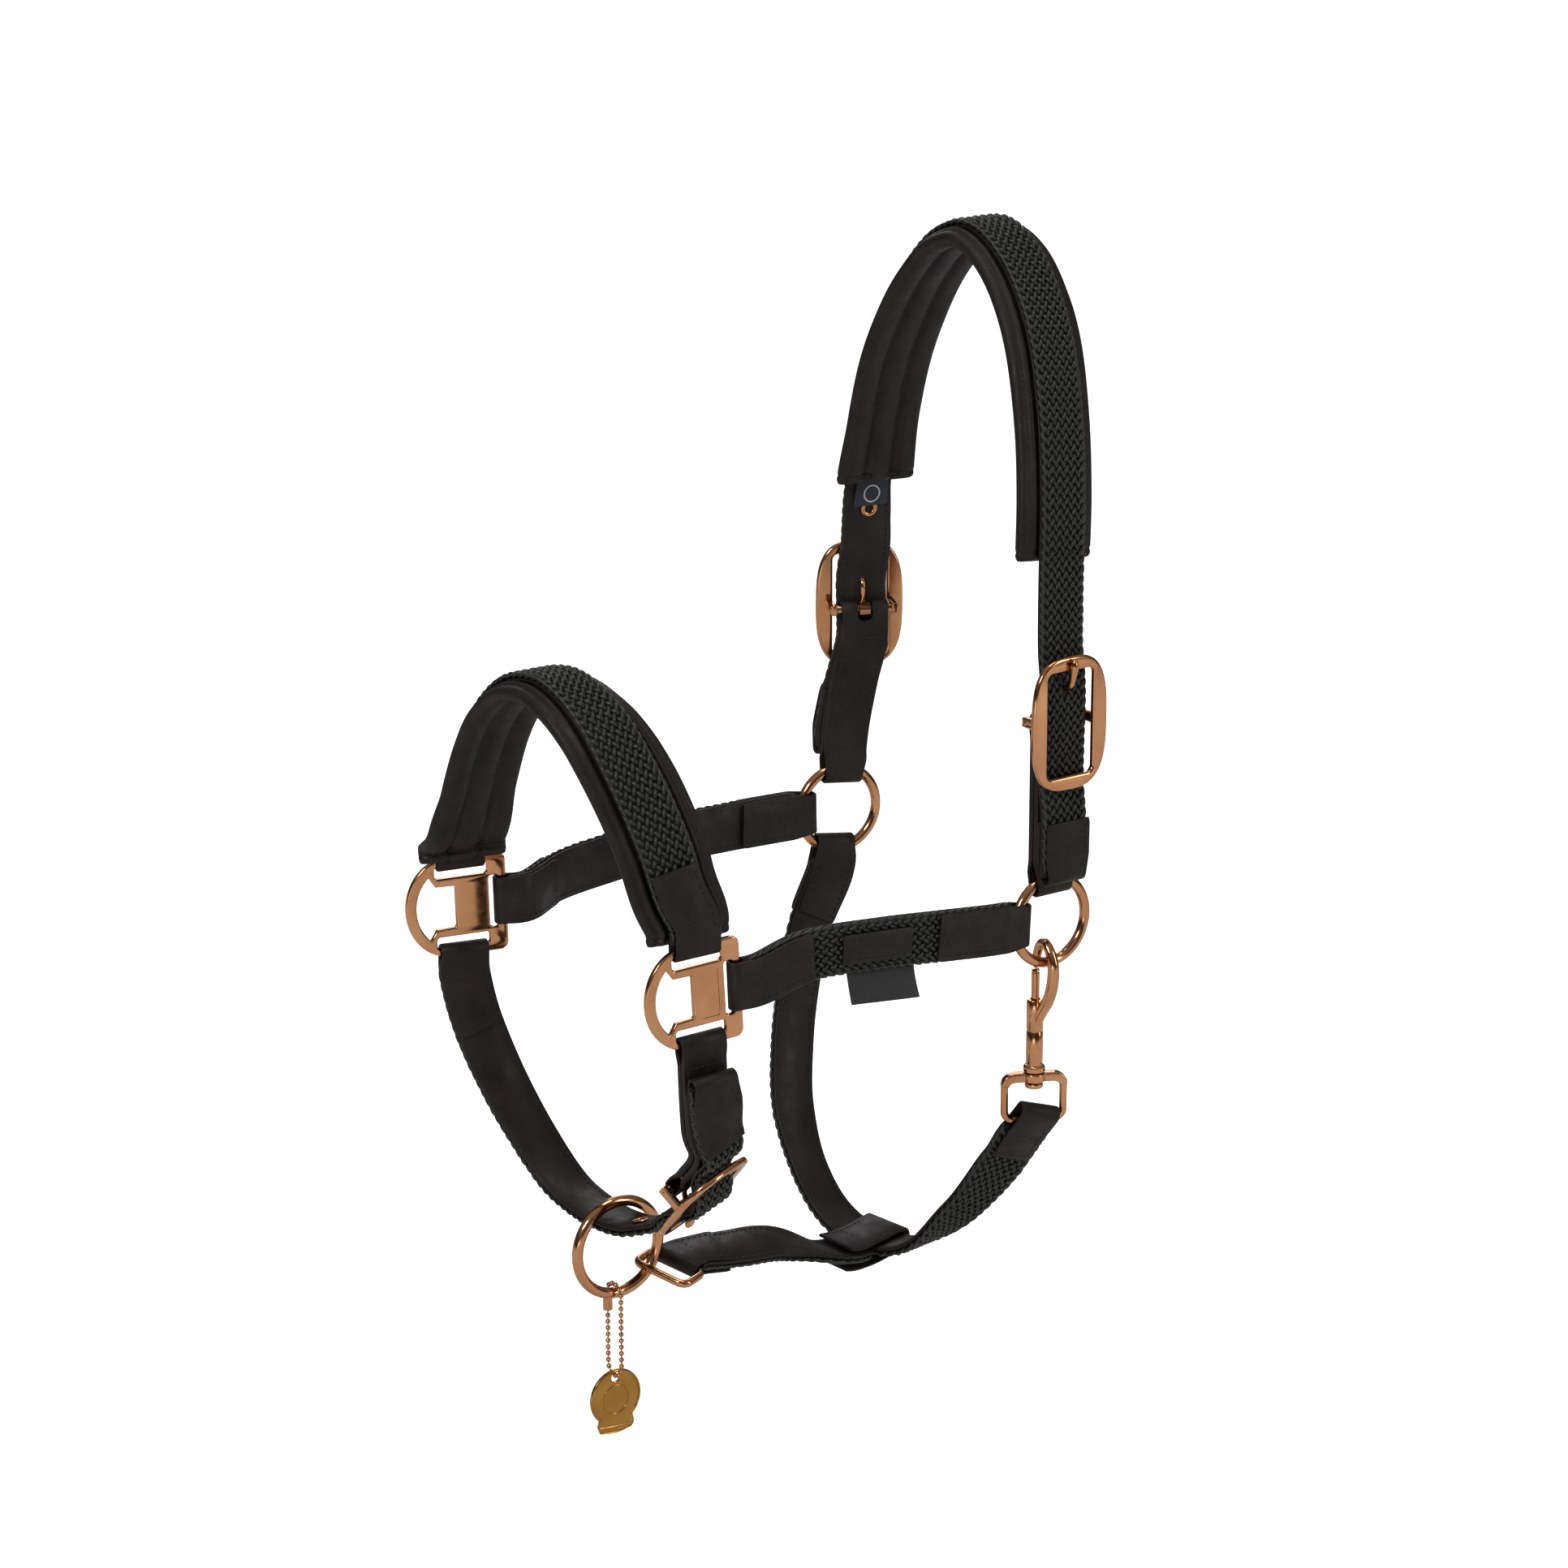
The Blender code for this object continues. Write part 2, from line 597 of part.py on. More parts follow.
# Cheek straps, from the side fittings back to the throat rings.
NEAR_CHEEK_LEAN = Vector((0, -1, 0.05)).normalized()
FAR_CHEEK_LEAN = Vector((-0.17, -0.985, -0.02)).normalized()
NEAR_CHEEK = Route(
    [NEAR_FIT.at(BAR_U, 0.3), NEAR_FIT.at(BAR_U + 13, 0.3), (83.0, -160.0, -299.5), (86.0, -122.0, -300.5),
     (87.0, -88.0, -303.5)] + [NEAR_RING + NEAR_CHEEK_LEAN * (RING_FOLD + d) for d in (18, 0)],
    [tuple(NEAR_FIT.y)] * 2 + [(0, 0, 1)] * 5)
FAR_CHEEK = Route(
    [FAR_RING + FAR_CHEEK_LEAN * (RING_FOLD + d) for d in (0, 18)]
    + [(-92.5, -82.0, -297.0), (-91.5, -116.0, -296.5), (-88.0, -150.0, -297.5), (-83.5, -186.0, -299.5),
       FAR_FIT.at(BAR_U + 13, 0.3), FAR_FIT.at(BAR_U, 0.3)],
    [(0, 0, 1)] * 6 + [tuple(FAR_FIT.y)] * 2)

# Chin buckle, on the near side where the chin strap turns up.
CHIN_RUN = Vector((-0.70, -0.01, -0.715)).normalized()
CHIN_TURN = Vector((0.36, -0.93, -0.05))
CHIN_ACROSS = -(CHIN_TURN - CHIN_RUN * CHIN_TURN.dot(CHIN_RUN)).normalized()
CHIN_BUCKLE = Frame(Vector((59.1, -211.3, -404.2)), CHIN_RUN, CHIN_ACROSS, CHIN_RUN.cross(CHIN_ACROSS))

# Chin strap, from the far fitting under the chin and up to its free end on the near side. It bulges
# out through the buckle's window as it turns the corner over the bar.
CHIN_BEND = ((32, 6.0), (23, 6.2), (15.0, 8.2), (8, 13.4), (-0.5, 16.6), (-9, 13.0), (-14.8, 7.8),
             (-22, 5.9), (-32, 6.0))
CHIN_UNDER = [
    FAR_FIT.at(STRAP_U, -BAR_V), FAR_FIT.at(STRAP_U, -BAR_V - 13), (-75.0, -239.5, -361.5),
    (-67.5, -230.5, -391.0), (-53.0, -223.0, -416.5), (-33.0, -218.8, -434.6), (-11.0, -217.4, -440.7),
    (10.0, -217.2, -441.0), (27.0, -214.6, -438.8),
]
CHIN_UP = [(84.6, -212.5, -374.0), (86.6, -215.2, -359.0), (87.2, -216.5, -345.0)]
CHIN_POINTS = CHIN_UNDER + [CHIN_BUCKLE.at(a, 0, n) for a, n in CHIN_BEND] + CHIN_UP
CHIN_SIDES = [FAR_FRONT, FAR_FRONT, (-0.2, -0.98, 0), (-0.1, -0.99, 0), (-0.03, -1, 0), (0, -1, 0),
              (0, -1, 0), (0, -1, 0), (0.12, -1, 0)]
CHIN_SIDES += [-CHIN_ACROSS] * len(CHIN_BEND) + [(0.1, -1, -0.07), NEAR_FRONT, NEAR_FRONT]
CHIN = Route(CHIN_POINTS, CHIN_SIDES, station=5.0)


def chin_chape_route():
    past = CHIN.knots[len(CHIN_UNDER) + 4]
    frames = [CHIN.frame(past + d) for d in (36.0, 48.0)]
    points = [CHIN_BUCKLE.origin, CHIN_BUCKLE.at(-13, 0)] + [f.at(0, 0, -TAIL_OVER_CHAPE) for f in frames]
    points += [NEAR_FIT.at(STRAP_U, -BAR_V - 14), NEAR_FIT.at(STRAP_U, -BAR_V)]
    return Route(points, [-CHIN_ACROSS] * 2 + [f.y for f in frames] + [NEAR_FRONT, NEAR_FRONT])


CHIN_CHAPE = chin_chape_route()

# Throat strap, from the far ring under the throat to the snap.
THROAT_LEAN = Vector((-0.024, -0.14, -1)).normalized()
SNAP_OUT = SNAP_BAR.cross(SNAP_AXIS).normalized()
SNAP_SIDE = SNAP_AXIS.cross(SNAP_OUT).normalized()
SNAP = Frame(SNAP_FOOT, SNAP_OUT, SNAP_SIDE, SNAP_AXIS)
THROAT_END_RUN = Vector((0.61, 0.05, 0.78)).normalized()
THROAT_OVERSHOOT = 5.0
THROAT_STRAP_END = 12.4
THROAT_NECK = 20.0
THROAT_POINTS = [
    FAR_RING + THROAT_LEAN * RING_FOLD, FAR_RING + THROAT_LEAN * (RING_FOLD + 16), (-85.0, -35.5, -354.0),
    (-80.5, -46.0, -383.0), (-74.0, -54.5, -410.0), (-62.0, -63.0, -438.0), (-44.5, -66.5, -464.0),
    (-23.5, -65.5, -483.0), (-1.0, -60.0, -491.0), (22.0, -50.5, -488.5), (42.0, -36.0, -467.0),
    (58.5, -23.5, -438.5), SNAP_FOOT - THROAT_END_RUN * 15, SNAP_FOOT + THROAT_END_RUN * THROAT_OVERSHOOT]
THROAT = Route(THROAT_POINTS, [
    THROAT_LEAN.cross(FAR_AXIS), THROAT_LEAN.cross(FAR_AXIS), (0, -1, 0.12),
    (0, -1, 0.2), (0, -1, 0.2), (0.05, -1, 0.15), (0.25, -1, 0.1), (0.38, -1, 0.0), (0.42, -1, 0.0),
    (0.3, -1, 0.05), (-0.1, -1, 0.12), (-0.35, -0.93, 0.03), -SNAP_BAR, -SNAP_BAR])
JOWL_S = THROAT.knots[8]

# Jowl strap, from the loop on the lead ring back to the throat strap, which its rear end goes round.
LOOP_WIRE = 2.0
LOOP_LONG = Vector((0.90, 0.37, -0.21)).normalized()
LOOP_RADIAL = Vector((0, 0.848, -0.53))
LOOP_BACK = Vector((-0.38, 0.92, 0.05))
LOOP_SHORT = (LOOP_BACK - LOOP_LONG * LOOP_BACK.dot(LOOP_LONG)).normalized()
LOOP_OFFSET = 8.9
LOOP_BARS = (-6.6, 9.5)
LOOP_AT_RING = LEAD_RING + LOOP_RADIAL * LEAD_RADIUS
JOWL_START = LOOP_AT_RING + LOOP_SHORT * LOOP_BARS[1] + LOOP_LONG * LOOP_OFFSET


def jowl_route():
    cross = THROAT.frame(JOWL_S)
    rear = -cross.y
    run = (LOOP_SHORT - LOOP_LONG.cross(LOOP_SHORT) * 0.2).normalized()
    points = [JOWL_START, JOWL_START + run * 13, (8.0, -148.0, -472.0), (4.0, -122.0, -477.0)]
    points += [cross.origin - rear * 38 + Vector((0, 0, 5)), cross.origin - rear * 14]
    points += [cross.origin + rear * 12.4]
    sides = [LOOP_LONG, LOOP_LONG, (0.93, 0.2, -0.35), (0.93, 0.1, -0.35), cross.x, cross.x, cross.x]
    return Route(points, sides)


JOWL = jowl_route()


# ---------------------------------------------------------------- assemblies

def build_crown():
    layers = lined_strap("crown", CROWN, 3.2, CROWN.length - 3.2)
    pad("crown_pad", CROWN, *CROWN_PAD, tab_zones=[])
    tip("near_crown_tip", CROWN, 3.0, 1, 27.0)
    tip("far_crown_tip", CROWN, CROWN.length - 3.0, -1, 27.0)
    for side, place in (("near", NEAR_BUCKLE), ("far", FAR_BUCKLE)):
        buckle(side, place)
        for layer in layers:
            tongue_hole(layer, place, f"{side}_hole")
    eyelet("near_crown_eyelet", CROWN, CROWN.knots[8])
    eyelet("far_crown_eyelet", CROWN, CROWN_PAD[1] + 15.5)
    here = CROWN.frame(CROWN_PAD[1] + 7.3)
    label = Frame(here.at(0, 0, LINING[0] - LABEL_LIFT), *axes(here))
    add_object("size_label", box(label, (-6.2, 6.2), (-9.0, 9.0), (-0.25, 0.25)), "label")


def axes(frame):
    return frame.x, frame.y, frame.z


def build_chapes():
    chape("near_chape", NEAR_CHAPE, RING_TAB_NECK, 7.0)
    chape("far_chape", FAR_CHAPE, RING_TAB_NECK, 7.0)
    chape("chin_chape", CHIN_CHAPE, TAB_WIDTH, 3.0)


def build_noseband():
    start, end = BAR_STRAP_START, NOSE.length - BAR_STRAP_START
    lined_strap("noseband", NOSE, start, end)
    zones = [(0, NOSE_TAB), (NOSE.length - NOSE_TAB, NOSE.length)]
    pad("noseband_pad", NOSE, 2.0, NOSE.length - 2.0, zones)
    tab("near_noseband_tab", NOSE, 0.0, 1, NOSE_TAB)
    tab("far_noseband_tab", NOSE, NOSE.length, -1, NOSE_TAB)


def build_cheeks():
    near_end = NEAR_CHEEK.length
    lined_strap("near_cheek", NEAR_CHEEK, BAR_STRAP_START, near_end - RING_STRAP_START)
    tab("near_cheek_front_tab", NEAR_CHEEK, 0.0, 1, 41.0)
    tab("near_cheek_rear_tab", NEAR_CHEEK, near_end, -1, 51.0, neck=RING_TAB_NECK)
    far_end = FAR_CHEEK.length
    lined_strap("far_cheek", FAR_CHEEK, RING_STRAP_START, far_end - BAR_STRAP_START)
    tab("far_cheek_rear_tab", FAR_CHEEK, 0.0, 1, 42.0, inner=3.4, outer=4.8, neck=RING_TAB_NECK)
    tab("far_cheek_front_tab", FAR_CHEEK, far_end, -1, 41.0)
    badge_at = NEAR_CHEEK.frame(75.0)
    badge = Frame(badge_at.at(0, 0, PLAIT[1] + GAP), *axes(badge_at))
    add_object("cheek_badge", prism(badge, rounded_box(-19.0, 19.0, -7.2, 7.2, 1.2, 3), 0.0, 1.2), "leather")
    flag_at = NEAR_CHEEK.frame(80.0)
    flag = Frame(flag_at.at(0, -STRAP_WIDTH / 2 - 1.0, 0), *axes(flag_at))
    add_object("flag_label", box(flag, (-19.0, 19.0), (-13.0, 0.0), (-0.5, 0.5)), "label")


def build_chin():
    layers = lined_strap("chin", CHIN, BAR_STRAP_START, CHIN.length - 3.2)
    tab("chin_far_tab", CHIN, 0.0, 1, 35.0)
    tip("chin_tip", CHIN, CHIN.length - 3.0, -1, 30.0)
    buckle("chin", CHIN_BUCKLE, CHIN_TONGUE_HOLE, CHIN_BUCKLE_HALF_LENGTH)
    for layer in layers:
        tongue_hole(layer, CHIN_BUCKLE, "hole", CHIN_TONGUE_HOLE)
    eyelet("chin_eyelet", CHIN, CHIN.knots[8] - 1.0)


def build_throat():
    lined_strap("throat", THROAT, RING_STRAP_START, THROAT.length - THROAT_STRAP_END)
    tab("throat_far_tab", THROAT, 0.0, 1, 40.0, neck=RING_TAB_NECK)
    tab("throat_near_tab", THROAT, THROAT.length, -1, 36.0, inner=3.1, outer=4.5, width=THROAT_NECK)
    lined_strap("jowl", JOWL, BAR_STRAP_START, JOWL.length - 12.4 - STRAP_WIDTH / 2 - 1.2)
    tab("jowl_front_tab", JOWL, 0.0, 1, 34.0)
    tab("jowl_rear_sleeve", JOWL, JOWL.length, -1, 46.0, inner=4.6, outer=6.0)


def build_rings():
    rings = (("near_ring", NEAR_RING, NEAR_AXIS, RING_RADIUS, RING_WIRE),
             ("far_ring", FAR_RING, FAR_AXIS, RING_RADIUS, RING_WIRE),
             ("lead_ring", LEAD_RING, NEAR_AXIS, LEAD_RADIUS, LEAD_WIRE))
    for name, centre, axis, radius, wire in rings:
        add_object(name, torus(centre, axis, radius, wire), "rose_gold", origin=centre, smooth=True)
    side_fitting("near_side_fitting", NEAR_FIT)
    side_fitting("far_side_fitting", FAR_FIT)
    half = TAB_WIDTH / 2 + 0.7 + LOOP_WIRE
    low, high = LOOP_BARS
    plane = Frame(LOOP_AT_RING + LOOP_LONG * LOOP_OFFSET, LOOP_LONG, LOOP_SHORT, LOOP_LONG.cross(LOOP_SHORT))
    path = [plane.at(x, y) for x, y in rounded_box(-half, half, low, high, 3.5, 4)]
    add_object("jowl_loop", tube(path, LOOP_WIRE, closed=True), "rose_gold", origin=JOWL_START, smooth=True)


# Snap, measured up its axis from the bar that the throat strap holds.
SWIVEL_HALF = 14.4
SWIVEL_BAR = (19.4, 23.8)
RIVET = (16.0, 19.1)
COLLAR = (24.1, 27.8)
BARREL_TOP = 61.0
BARREL_RADIUS = 4.1
BORE = 2.4
BORE_FLOOR = 36.0
BOLT_RADIUS = 2.0
BOLT = (50.0, 75.2)
CROWN_HEIGHT = 91.0
HOOK_TURN = math.radians(26)


def build_snap():
    build_swivel()
    build_hook()
    build_bolt()


def build_swivel():
    """A D-shaped loop: the strap's bar below, the rivet's bar above."""
    plane = Frame(SNAP.origin, SNAP.y, SNAP.z, SNAP.x)
    path = [plane.at(x, y) for x, y in rounded_box(-SWIVEL_HALF, SWIVEL_HALF, 0.0, 21.6, 4.0, 4)]
    piece = add_object("snap_swivel", tube(path, 1.9, closed=True), "rose_gold", origin=SNAP.origin)
    join(piece, cylinder(SNAP.at(0, 0, SWIVEL_BAR[0]), SNAP.at(0, 0, SWIVEL_BAR[1]), 5.4), "boss")
    cut(piece, cylinder(SNAP.at(0, 0, 15.0), SNAP.at(0, 0, 28.0), 2.9), "rivet_hole")


def build_hook():
    origin = SNAP.origin
    piece = add_object("snap_hook", cylinder(SNAP.at(0, 0, COLLAR[1] - 0.5), SNAP.at(0, 0, BARREL_TOP),
                                             BARREL_RADIUS), "rose_gold", origin=origin)
    join(piece, cylinder(SNAP.at(0, 0, COLLAR[0]), SNAP.at(0, 0, COLLAR[1]), 5.3), "collar")
    join(piece, cylinder(SNAP.at(0, 0, RIVET[1] - 0.4), SNAP.at(0, 0, COLLAR[0] + 0.4), 2.5), "shank")
    join(piece, cylinder(SNAP.at(0, 0, RIVET[0]), SNAP.at(0, 0, RIVET[1]), 4.6), "rivet_head")
    path = [(2.0, 50.0), (5.5, 56.0), (9.5, 62.0), (12.4, 69.0), (13.6, 76.0), (13.2, 82.5), (10.6, 88.0),
            (6.6, CROWN_HEIGHT), (3.0, 88.8), (1.0, 84.0), (0.3, 79.0)]
    radii = [2.4, 2.6, 2.7, 2.8, 2.8, 2.7, 2.5, 2.4, 2.3, 2.2, 2.0]
    out = (math.cos(HOOK_TURN), math.sin(HOOK_TURN))
    join(piece, tube([SNAP.at(x * out[0], x * out[1], z) for x, z in path], radii), "hook")
    cut(piece, cylinder(SNAP.at(0, 0, BORE_FLOOR), SNAP.at(0, 0, BARREL_TOP + 2), BORE), "bore")
    thumb_slot = box(SNAP, (-6.0, 0.0), (-1.3, 1.3), (42.0, 57.0))
    cut(piece, thumb_slot, "thumb_slot")


def build_bolt():
    """The sliding bolt with its thumb stud, and the spring under it."""
    bolt = add_object("snap_bolt", cylinder(SNAP.at(0, 0, BOLT[0]), SNAP.at(0, 0, BOLT[1]), BOLT_RADIUS, 12),
                      "rose_gold", origin=SNAP.origin)
    join(bolt, box(SNAP, (-6.6, -1.0), (-0.9, 0.9), (51.0, 56.0)), "stud")
    turns, steps = 5, 10
    low, high = BORE_FLOOR + 0.7, BOLT[0] - 0.7
    path = []
    for k in range(turns * steps + 1):
        swing = 2 * math.pi * k / steps
        height = low + (high - low) * k / (turns * steps)
        path.append(SNAP.at(1.55 * math.cos(swing), 1.55 * math.sin(swing), height))
    add_object("snap_spring", tube(path, 0.35, sides=6), "steel", origin=SNAP.origin)


# Bead chain and medallion under the lead ring. The chain's loop lies in the XZ plane.
CHAIN_TOP = LEAD_RING + Vector((0, -2.4, -22.87))
CHAIN_HALF = 5.6
CHAIN_DROP = 42.5
BEAD = 1.3
DISC_RADIUS = 14.2
DISC_DEPTH = 2.0
DISC_HOLE = 2.4


def chain_path():
    top = [(CHAIN_HALF * math.cos(t), 4.5 * math.sin(t)) for t in
           (math.pi * k / 8 for k in range(9))]
    bottom = [(-CHAIN_HALF * math.cos(t), -CHAIN_DROP + 5.0 - 5.0 * math.sin(t)) for t in
              (math.pi * k / 8 for k in range(9))]
    return [CHAIN_TOP + Vector((x, 0, z)) for x, z in top + bottom]


def build_medallion():
    path = chain_path()
    add_object("bead_chain", tube(path, BEAD, sides=8, closed=True), "rose_gold", origin=CHAIN_TOP)
    clasp_at = CHAIN_TOP + Vector((-CHAIN_HALF, 0, -7.0))
    sleeve = Frame(clasp_at, Vector((1, 0, 0)), UP, Vector((0, -1, 0)))
    add_object("chain_clasp", torus_sleeve(sleeve, 1.7, 2.3, 3.4, 10), "rose_gold", origin=CHAIN_TOP)
    low = CHAIN_TOP + Vector((0, 0, -CHAIN_DROP))
    hole = low + Vector((0, 0, -(DISC_HOLE - BEAD - 0.3)))
    centre = hole + Vector((0, 0, -(DISC_RADIUS - 4.0)))
    plane = Frame(centre, Vector((0, 1, 0)), Vector((0, 0, 1)), Vector((1, 0, 0)))
    outline = arc(0, 0, DISC_RADIUS, DISC_RADIUS, -48, 228, 24)
    outline += [(-10.4, -13.5), (-9.0, -17.2), (0.0, -18.8), (9.0, -17.2), (10.4, -13.5)]
    blank = prism(plane, outline, -DISC_DEPTH / 2, DISC_DEPTH / 2)
    disc = add_object("medallion", blank, "yellow_gold", origin=low)
    across = Vector((2, 0, 0))
    cut(disc, cylinder(hole - across, hole + across, DISC_HOLE, 16), "hole")


def main():
    clear_scene()
    build_crown()
    build_chapes()
    build_noseband()
    build_cheeks()
    build_chin()
    build_throat()
    build_rings()
    build_snap()
    build_medallion()


main()
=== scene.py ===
"""Looks of a plaited leather headcollar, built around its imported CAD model.

Lengths are millimetres, apart from the studio's, which are metres like every finished mesh. Each strap
follows a route: a smooth centre line with a width direction w and an outward normal n. A place on a strap
is (s, w, n): the way along it, across it and out of it. A shell is (vertices, faces).
"""
import math

import bmesh
import bpy
import numpy as np
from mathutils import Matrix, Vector


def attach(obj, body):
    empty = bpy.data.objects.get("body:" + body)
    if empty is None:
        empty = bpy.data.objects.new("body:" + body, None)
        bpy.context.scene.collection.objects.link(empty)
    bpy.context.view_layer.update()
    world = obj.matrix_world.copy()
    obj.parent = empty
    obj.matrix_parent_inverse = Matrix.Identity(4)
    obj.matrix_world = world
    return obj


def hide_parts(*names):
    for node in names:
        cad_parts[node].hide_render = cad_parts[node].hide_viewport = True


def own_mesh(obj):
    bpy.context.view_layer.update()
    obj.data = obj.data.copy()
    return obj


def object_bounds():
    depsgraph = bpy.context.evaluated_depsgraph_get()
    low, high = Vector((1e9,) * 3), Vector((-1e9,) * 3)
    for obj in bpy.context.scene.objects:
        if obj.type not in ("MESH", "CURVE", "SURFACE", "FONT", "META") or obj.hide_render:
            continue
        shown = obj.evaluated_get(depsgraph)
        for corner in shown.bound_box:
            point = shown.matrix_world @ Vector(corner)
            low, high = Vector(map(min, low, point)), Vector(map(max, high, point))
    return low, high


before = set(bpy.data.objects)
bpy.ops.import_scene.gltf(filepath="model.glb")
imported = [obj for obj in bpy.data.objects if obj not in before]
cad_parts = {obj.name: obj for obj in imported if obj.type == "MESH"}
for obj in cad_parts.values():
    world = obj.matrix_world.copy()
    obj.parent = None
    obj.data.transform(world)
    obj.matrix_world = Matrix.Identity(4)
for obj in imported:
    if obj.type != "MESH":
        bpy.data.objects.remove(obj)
CAD_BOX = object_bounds()

MM = 0.001


# ---------------------------------------------------------------- materials

# The scale of a noise or of cells is per metre, and the distance of a bump is in millimetres.
NOISE_SPAN = (0.3, 0.7)


class Look:
    """A new material, and short ways to add nodes to its shader."""

    def __init__(self, name, roughness=0.5, metallic=0.0):
        self.material = bpy.data.materials.new(name)
        self.material.use_nodes = True
        self.tree = self.material.node_tree
        self.shader = self.tree.nodes["Principled BSDF"]
        self.fix("Roughness", roughness)
        self.fix("Metallic", metallic)
        self.place = self.tree.nodes.new("ShaderNodeTexCoord").outputs["Object"]

    def fix(self, socket, value):
        """Give a socket of the shader one value all over the surface."""
        self.shader.inputs[socket].default_value = value

    def put(self, socket, source):
        """Feed a socket of the shader from another node."""
        self.tree.links.new(source, self.shader.inputs[socket])

    def node(self, kind, socket, source, values):
        node = self.tree.nodes.new(f"ShaderNode{kind}")
        self.tree.links.new(source, node.inputs[socket])
        for name, value in values.items():
            node.inputs[name].default_value = value
        return node

    def noise(self, scale, detail=3.0, rough=0.5, stretch=None):
        source = self.place
        if stretch:
            source = self.node("Mapping", "Vector", source, {"Scale": stretch}).outputs["Vector"]
        values = {"Scale": scale, "Detail": detail, "Roughness": rough}
        return self.node("TexNoise", "Vector", source, values).outputs["Fac"]

    def cells(self, scale):
        node = self.node("TexVoronoi", "Vector", self.place, {"Scale": scale})
        node.feature = "DISTANCE_TO_EDGE"
        return node.outputs["Distance"]

    def ramp(self, source, *stops):
        """Colours by height; each of the two stops is (height, colour)."""
        node = self.node("ValToRGB", "Fac", source, {})
        for element, (height, colour) in zip(node.color_ramp.elements, stops):
            element.position = height
            element.color = (*colour, 1.0)
        return node.outputs["Color"]

    def ranged(self, source, low, high):
        """A noise, stretched to run from low to high."""
        values = {"From Min": NOISE_SPAN[0], "From Max": NOISE_SPAN[1], "To Min": low, "To Max": high}
        return self.node("MapRange", "Value", source, values).outputs["Result"]

    def bump(self, *heights):
        """Bumps on top of each other; each is (source, strength, distance)."""
        normal = None
        for source, strength, distance in heights:
            node = self.node("Bump", "Height", source, {"Strength": strength, "Distance": distance * MM})
            if normal:
                self.tree.links.new(normal, node.inputs["Normal"])
            normal = node.outputs["Normal"]
        self.put("Normal", normal)


def leather_material(name, dark, light, grain=1.0, shine=(0.40, 0.60)):
    """Smooth dark hide: fine pebbled grain, soft creases, small changes of colour and gloss."""
    look = Look(name)
    look.put("Base Color", look.ramp(look.noise(55.0, 5.0, 0.65), (0.32, dark), (0.72, light)))
    look.put("Roughness", look.ranged(look.noise(160.0, 4.0), *shine))
    look.bump((look.noise(70.0, 3.0), 0.35, 0.5), (look.cells(1150.0), 0.42 * grain, 0.12),
              (look.noise(1900.0, 2.0), 0.22 * grain, 0.08))
    look.fix("Specular IOR Level", 0.24)
    return look.material


def cord_material(dark, light):
    """Plaited cord: dark green-black, with fine twisted fibres and a soft sheen."""
    look = Look("plaited_cord")
    look.put("Base Color", look.ramp(look.noise(420.0, 4.0, 0.7), (0.30, dark), (0.74, light)))
    look.put("Roughness", look.ranged(look.noise(900.0, 2.0), 0.32, 0.54))
    look.bump((look.noise(2600.0, 3.0, 0.7), 0.55, 0.12))
    look.fix("Specular IOR Level", 0.50)
    look.fix("Sheen Weight", 0.05)
    look.fix("Sheen Roughness", 0.4)
    return look.material


def metal_material(name, low, high, roughness=(0.08, 0.18)):
    """Plated cast metal: polished, with faint waviness, fine wear and a little change of tone."""
    look = Look(name, metallic=1.0)
    look.put("Base Color", look.ramp(look.noise(38.0, 4.0, 0.6), (0.35, low), (0.68, high)))
    look.put("Roughness", look.ranged(look.noise(240.0, 5.0, 0.65), *roughness))
    look.bump((look.noise(120.0, 2.0), 0.05, 0.25),
              (look.noise(1400.0, 2.0, 0.6, (1.0, 1.0, 0.2)), 0.03, 0.05))
    return look.material


def woven_material(name, dark, light, pitch=0.45):
    """Woven tape: crossed threads at the given pitch."""
    look = Look(name, roughness=0.75)
    look.put("Base Color", look.ramp(look.noise(900.0, 3.0, 0.7), (0.3, dark), (0.7, light)))
    look.bump((look.noise(1.0 / (pitch * MM), 1.0, 0.4, (1.0, 1.0, 0.25)), 0.5, 0.12),
              (look.noise(1.0 / (pitch * MM), 1.0, 0.4, (0.25, 0.25, 1.0)), 0.5, 0.12))
    look.fix("Sheen Weight", 0.25)
    return look.material


def thread_material(name, dark, light):
    """Waxed sewing thread with a fine twist."""
    look = Look(name, roughness=0.45)
    look.put("Base Color", look.ramp(look.noise(1500.0, 2.0), (0.35, dark), (0.65, light)))
    look.bump((look.noise(3800.0, 1.0), 0.5, 0.06))
    return look.material


LEATHER = leather_material("strap_leather", (0.0095, 0.0064, 0.0054), (0.0230, 0.0162, 0.0138))
SOFT_LEATHER = leather_material("pad_leather", (0.0096, 0.0066, 0.0056), (0.0225, 0.0160, 0.0138),
                                grain=1.2, shine=(0.44, 0.62))
CORD = cord_material((0.0056, 0.0060, 0.0048), (0.0215, 0.0226, 0.0182))
# Near-black leather, darker than the strap's own: painted shade for the gaps between the plaited cords and
# for the holes in the eyelets.
GAP_SHADE = leather_material("plait_base_painted_shade", (0.0035, 0.0036, 0.0032), (0.0070, 0.0072, 0.0062))
THREAD = thread_material("waxed_thread", (0.0014, 0.0011, 0.0010), (0.0046, 0.0037, 0.0033))
ROSE = metal_material("rose_gold_plate", (0.56, 0.262, 0.120), (0.68, 0.340, 0.170))
YELLOW = metal_material("yellow_gold_plate", (0.44, 0.215, 0.045), (0.58, 0.315, 0.080),
                        roughness=(0.16, 0.30))
STEEL = metal_material("spring_steel", (0.42, 0.42, 0.43), (0.62, 0.62, 0.63),
                       roughness=(0.18, 0.30))
NAVY = woven_material("navy_tape", (0.0050, 0.0065, 0.0150), (0.0130, 0.0170, 0.0380))
DARK_TAPE = woven_material("dark_tape", (0.0085, 0.0078, 0.0078), (0.0200, 0.0185, 0.0185),
                           pitch=0.55)
PALE_THREAD = thread_material("pale_thread", (0.36, 0.37, 0.40), (0.62, 0.63, 0.66))


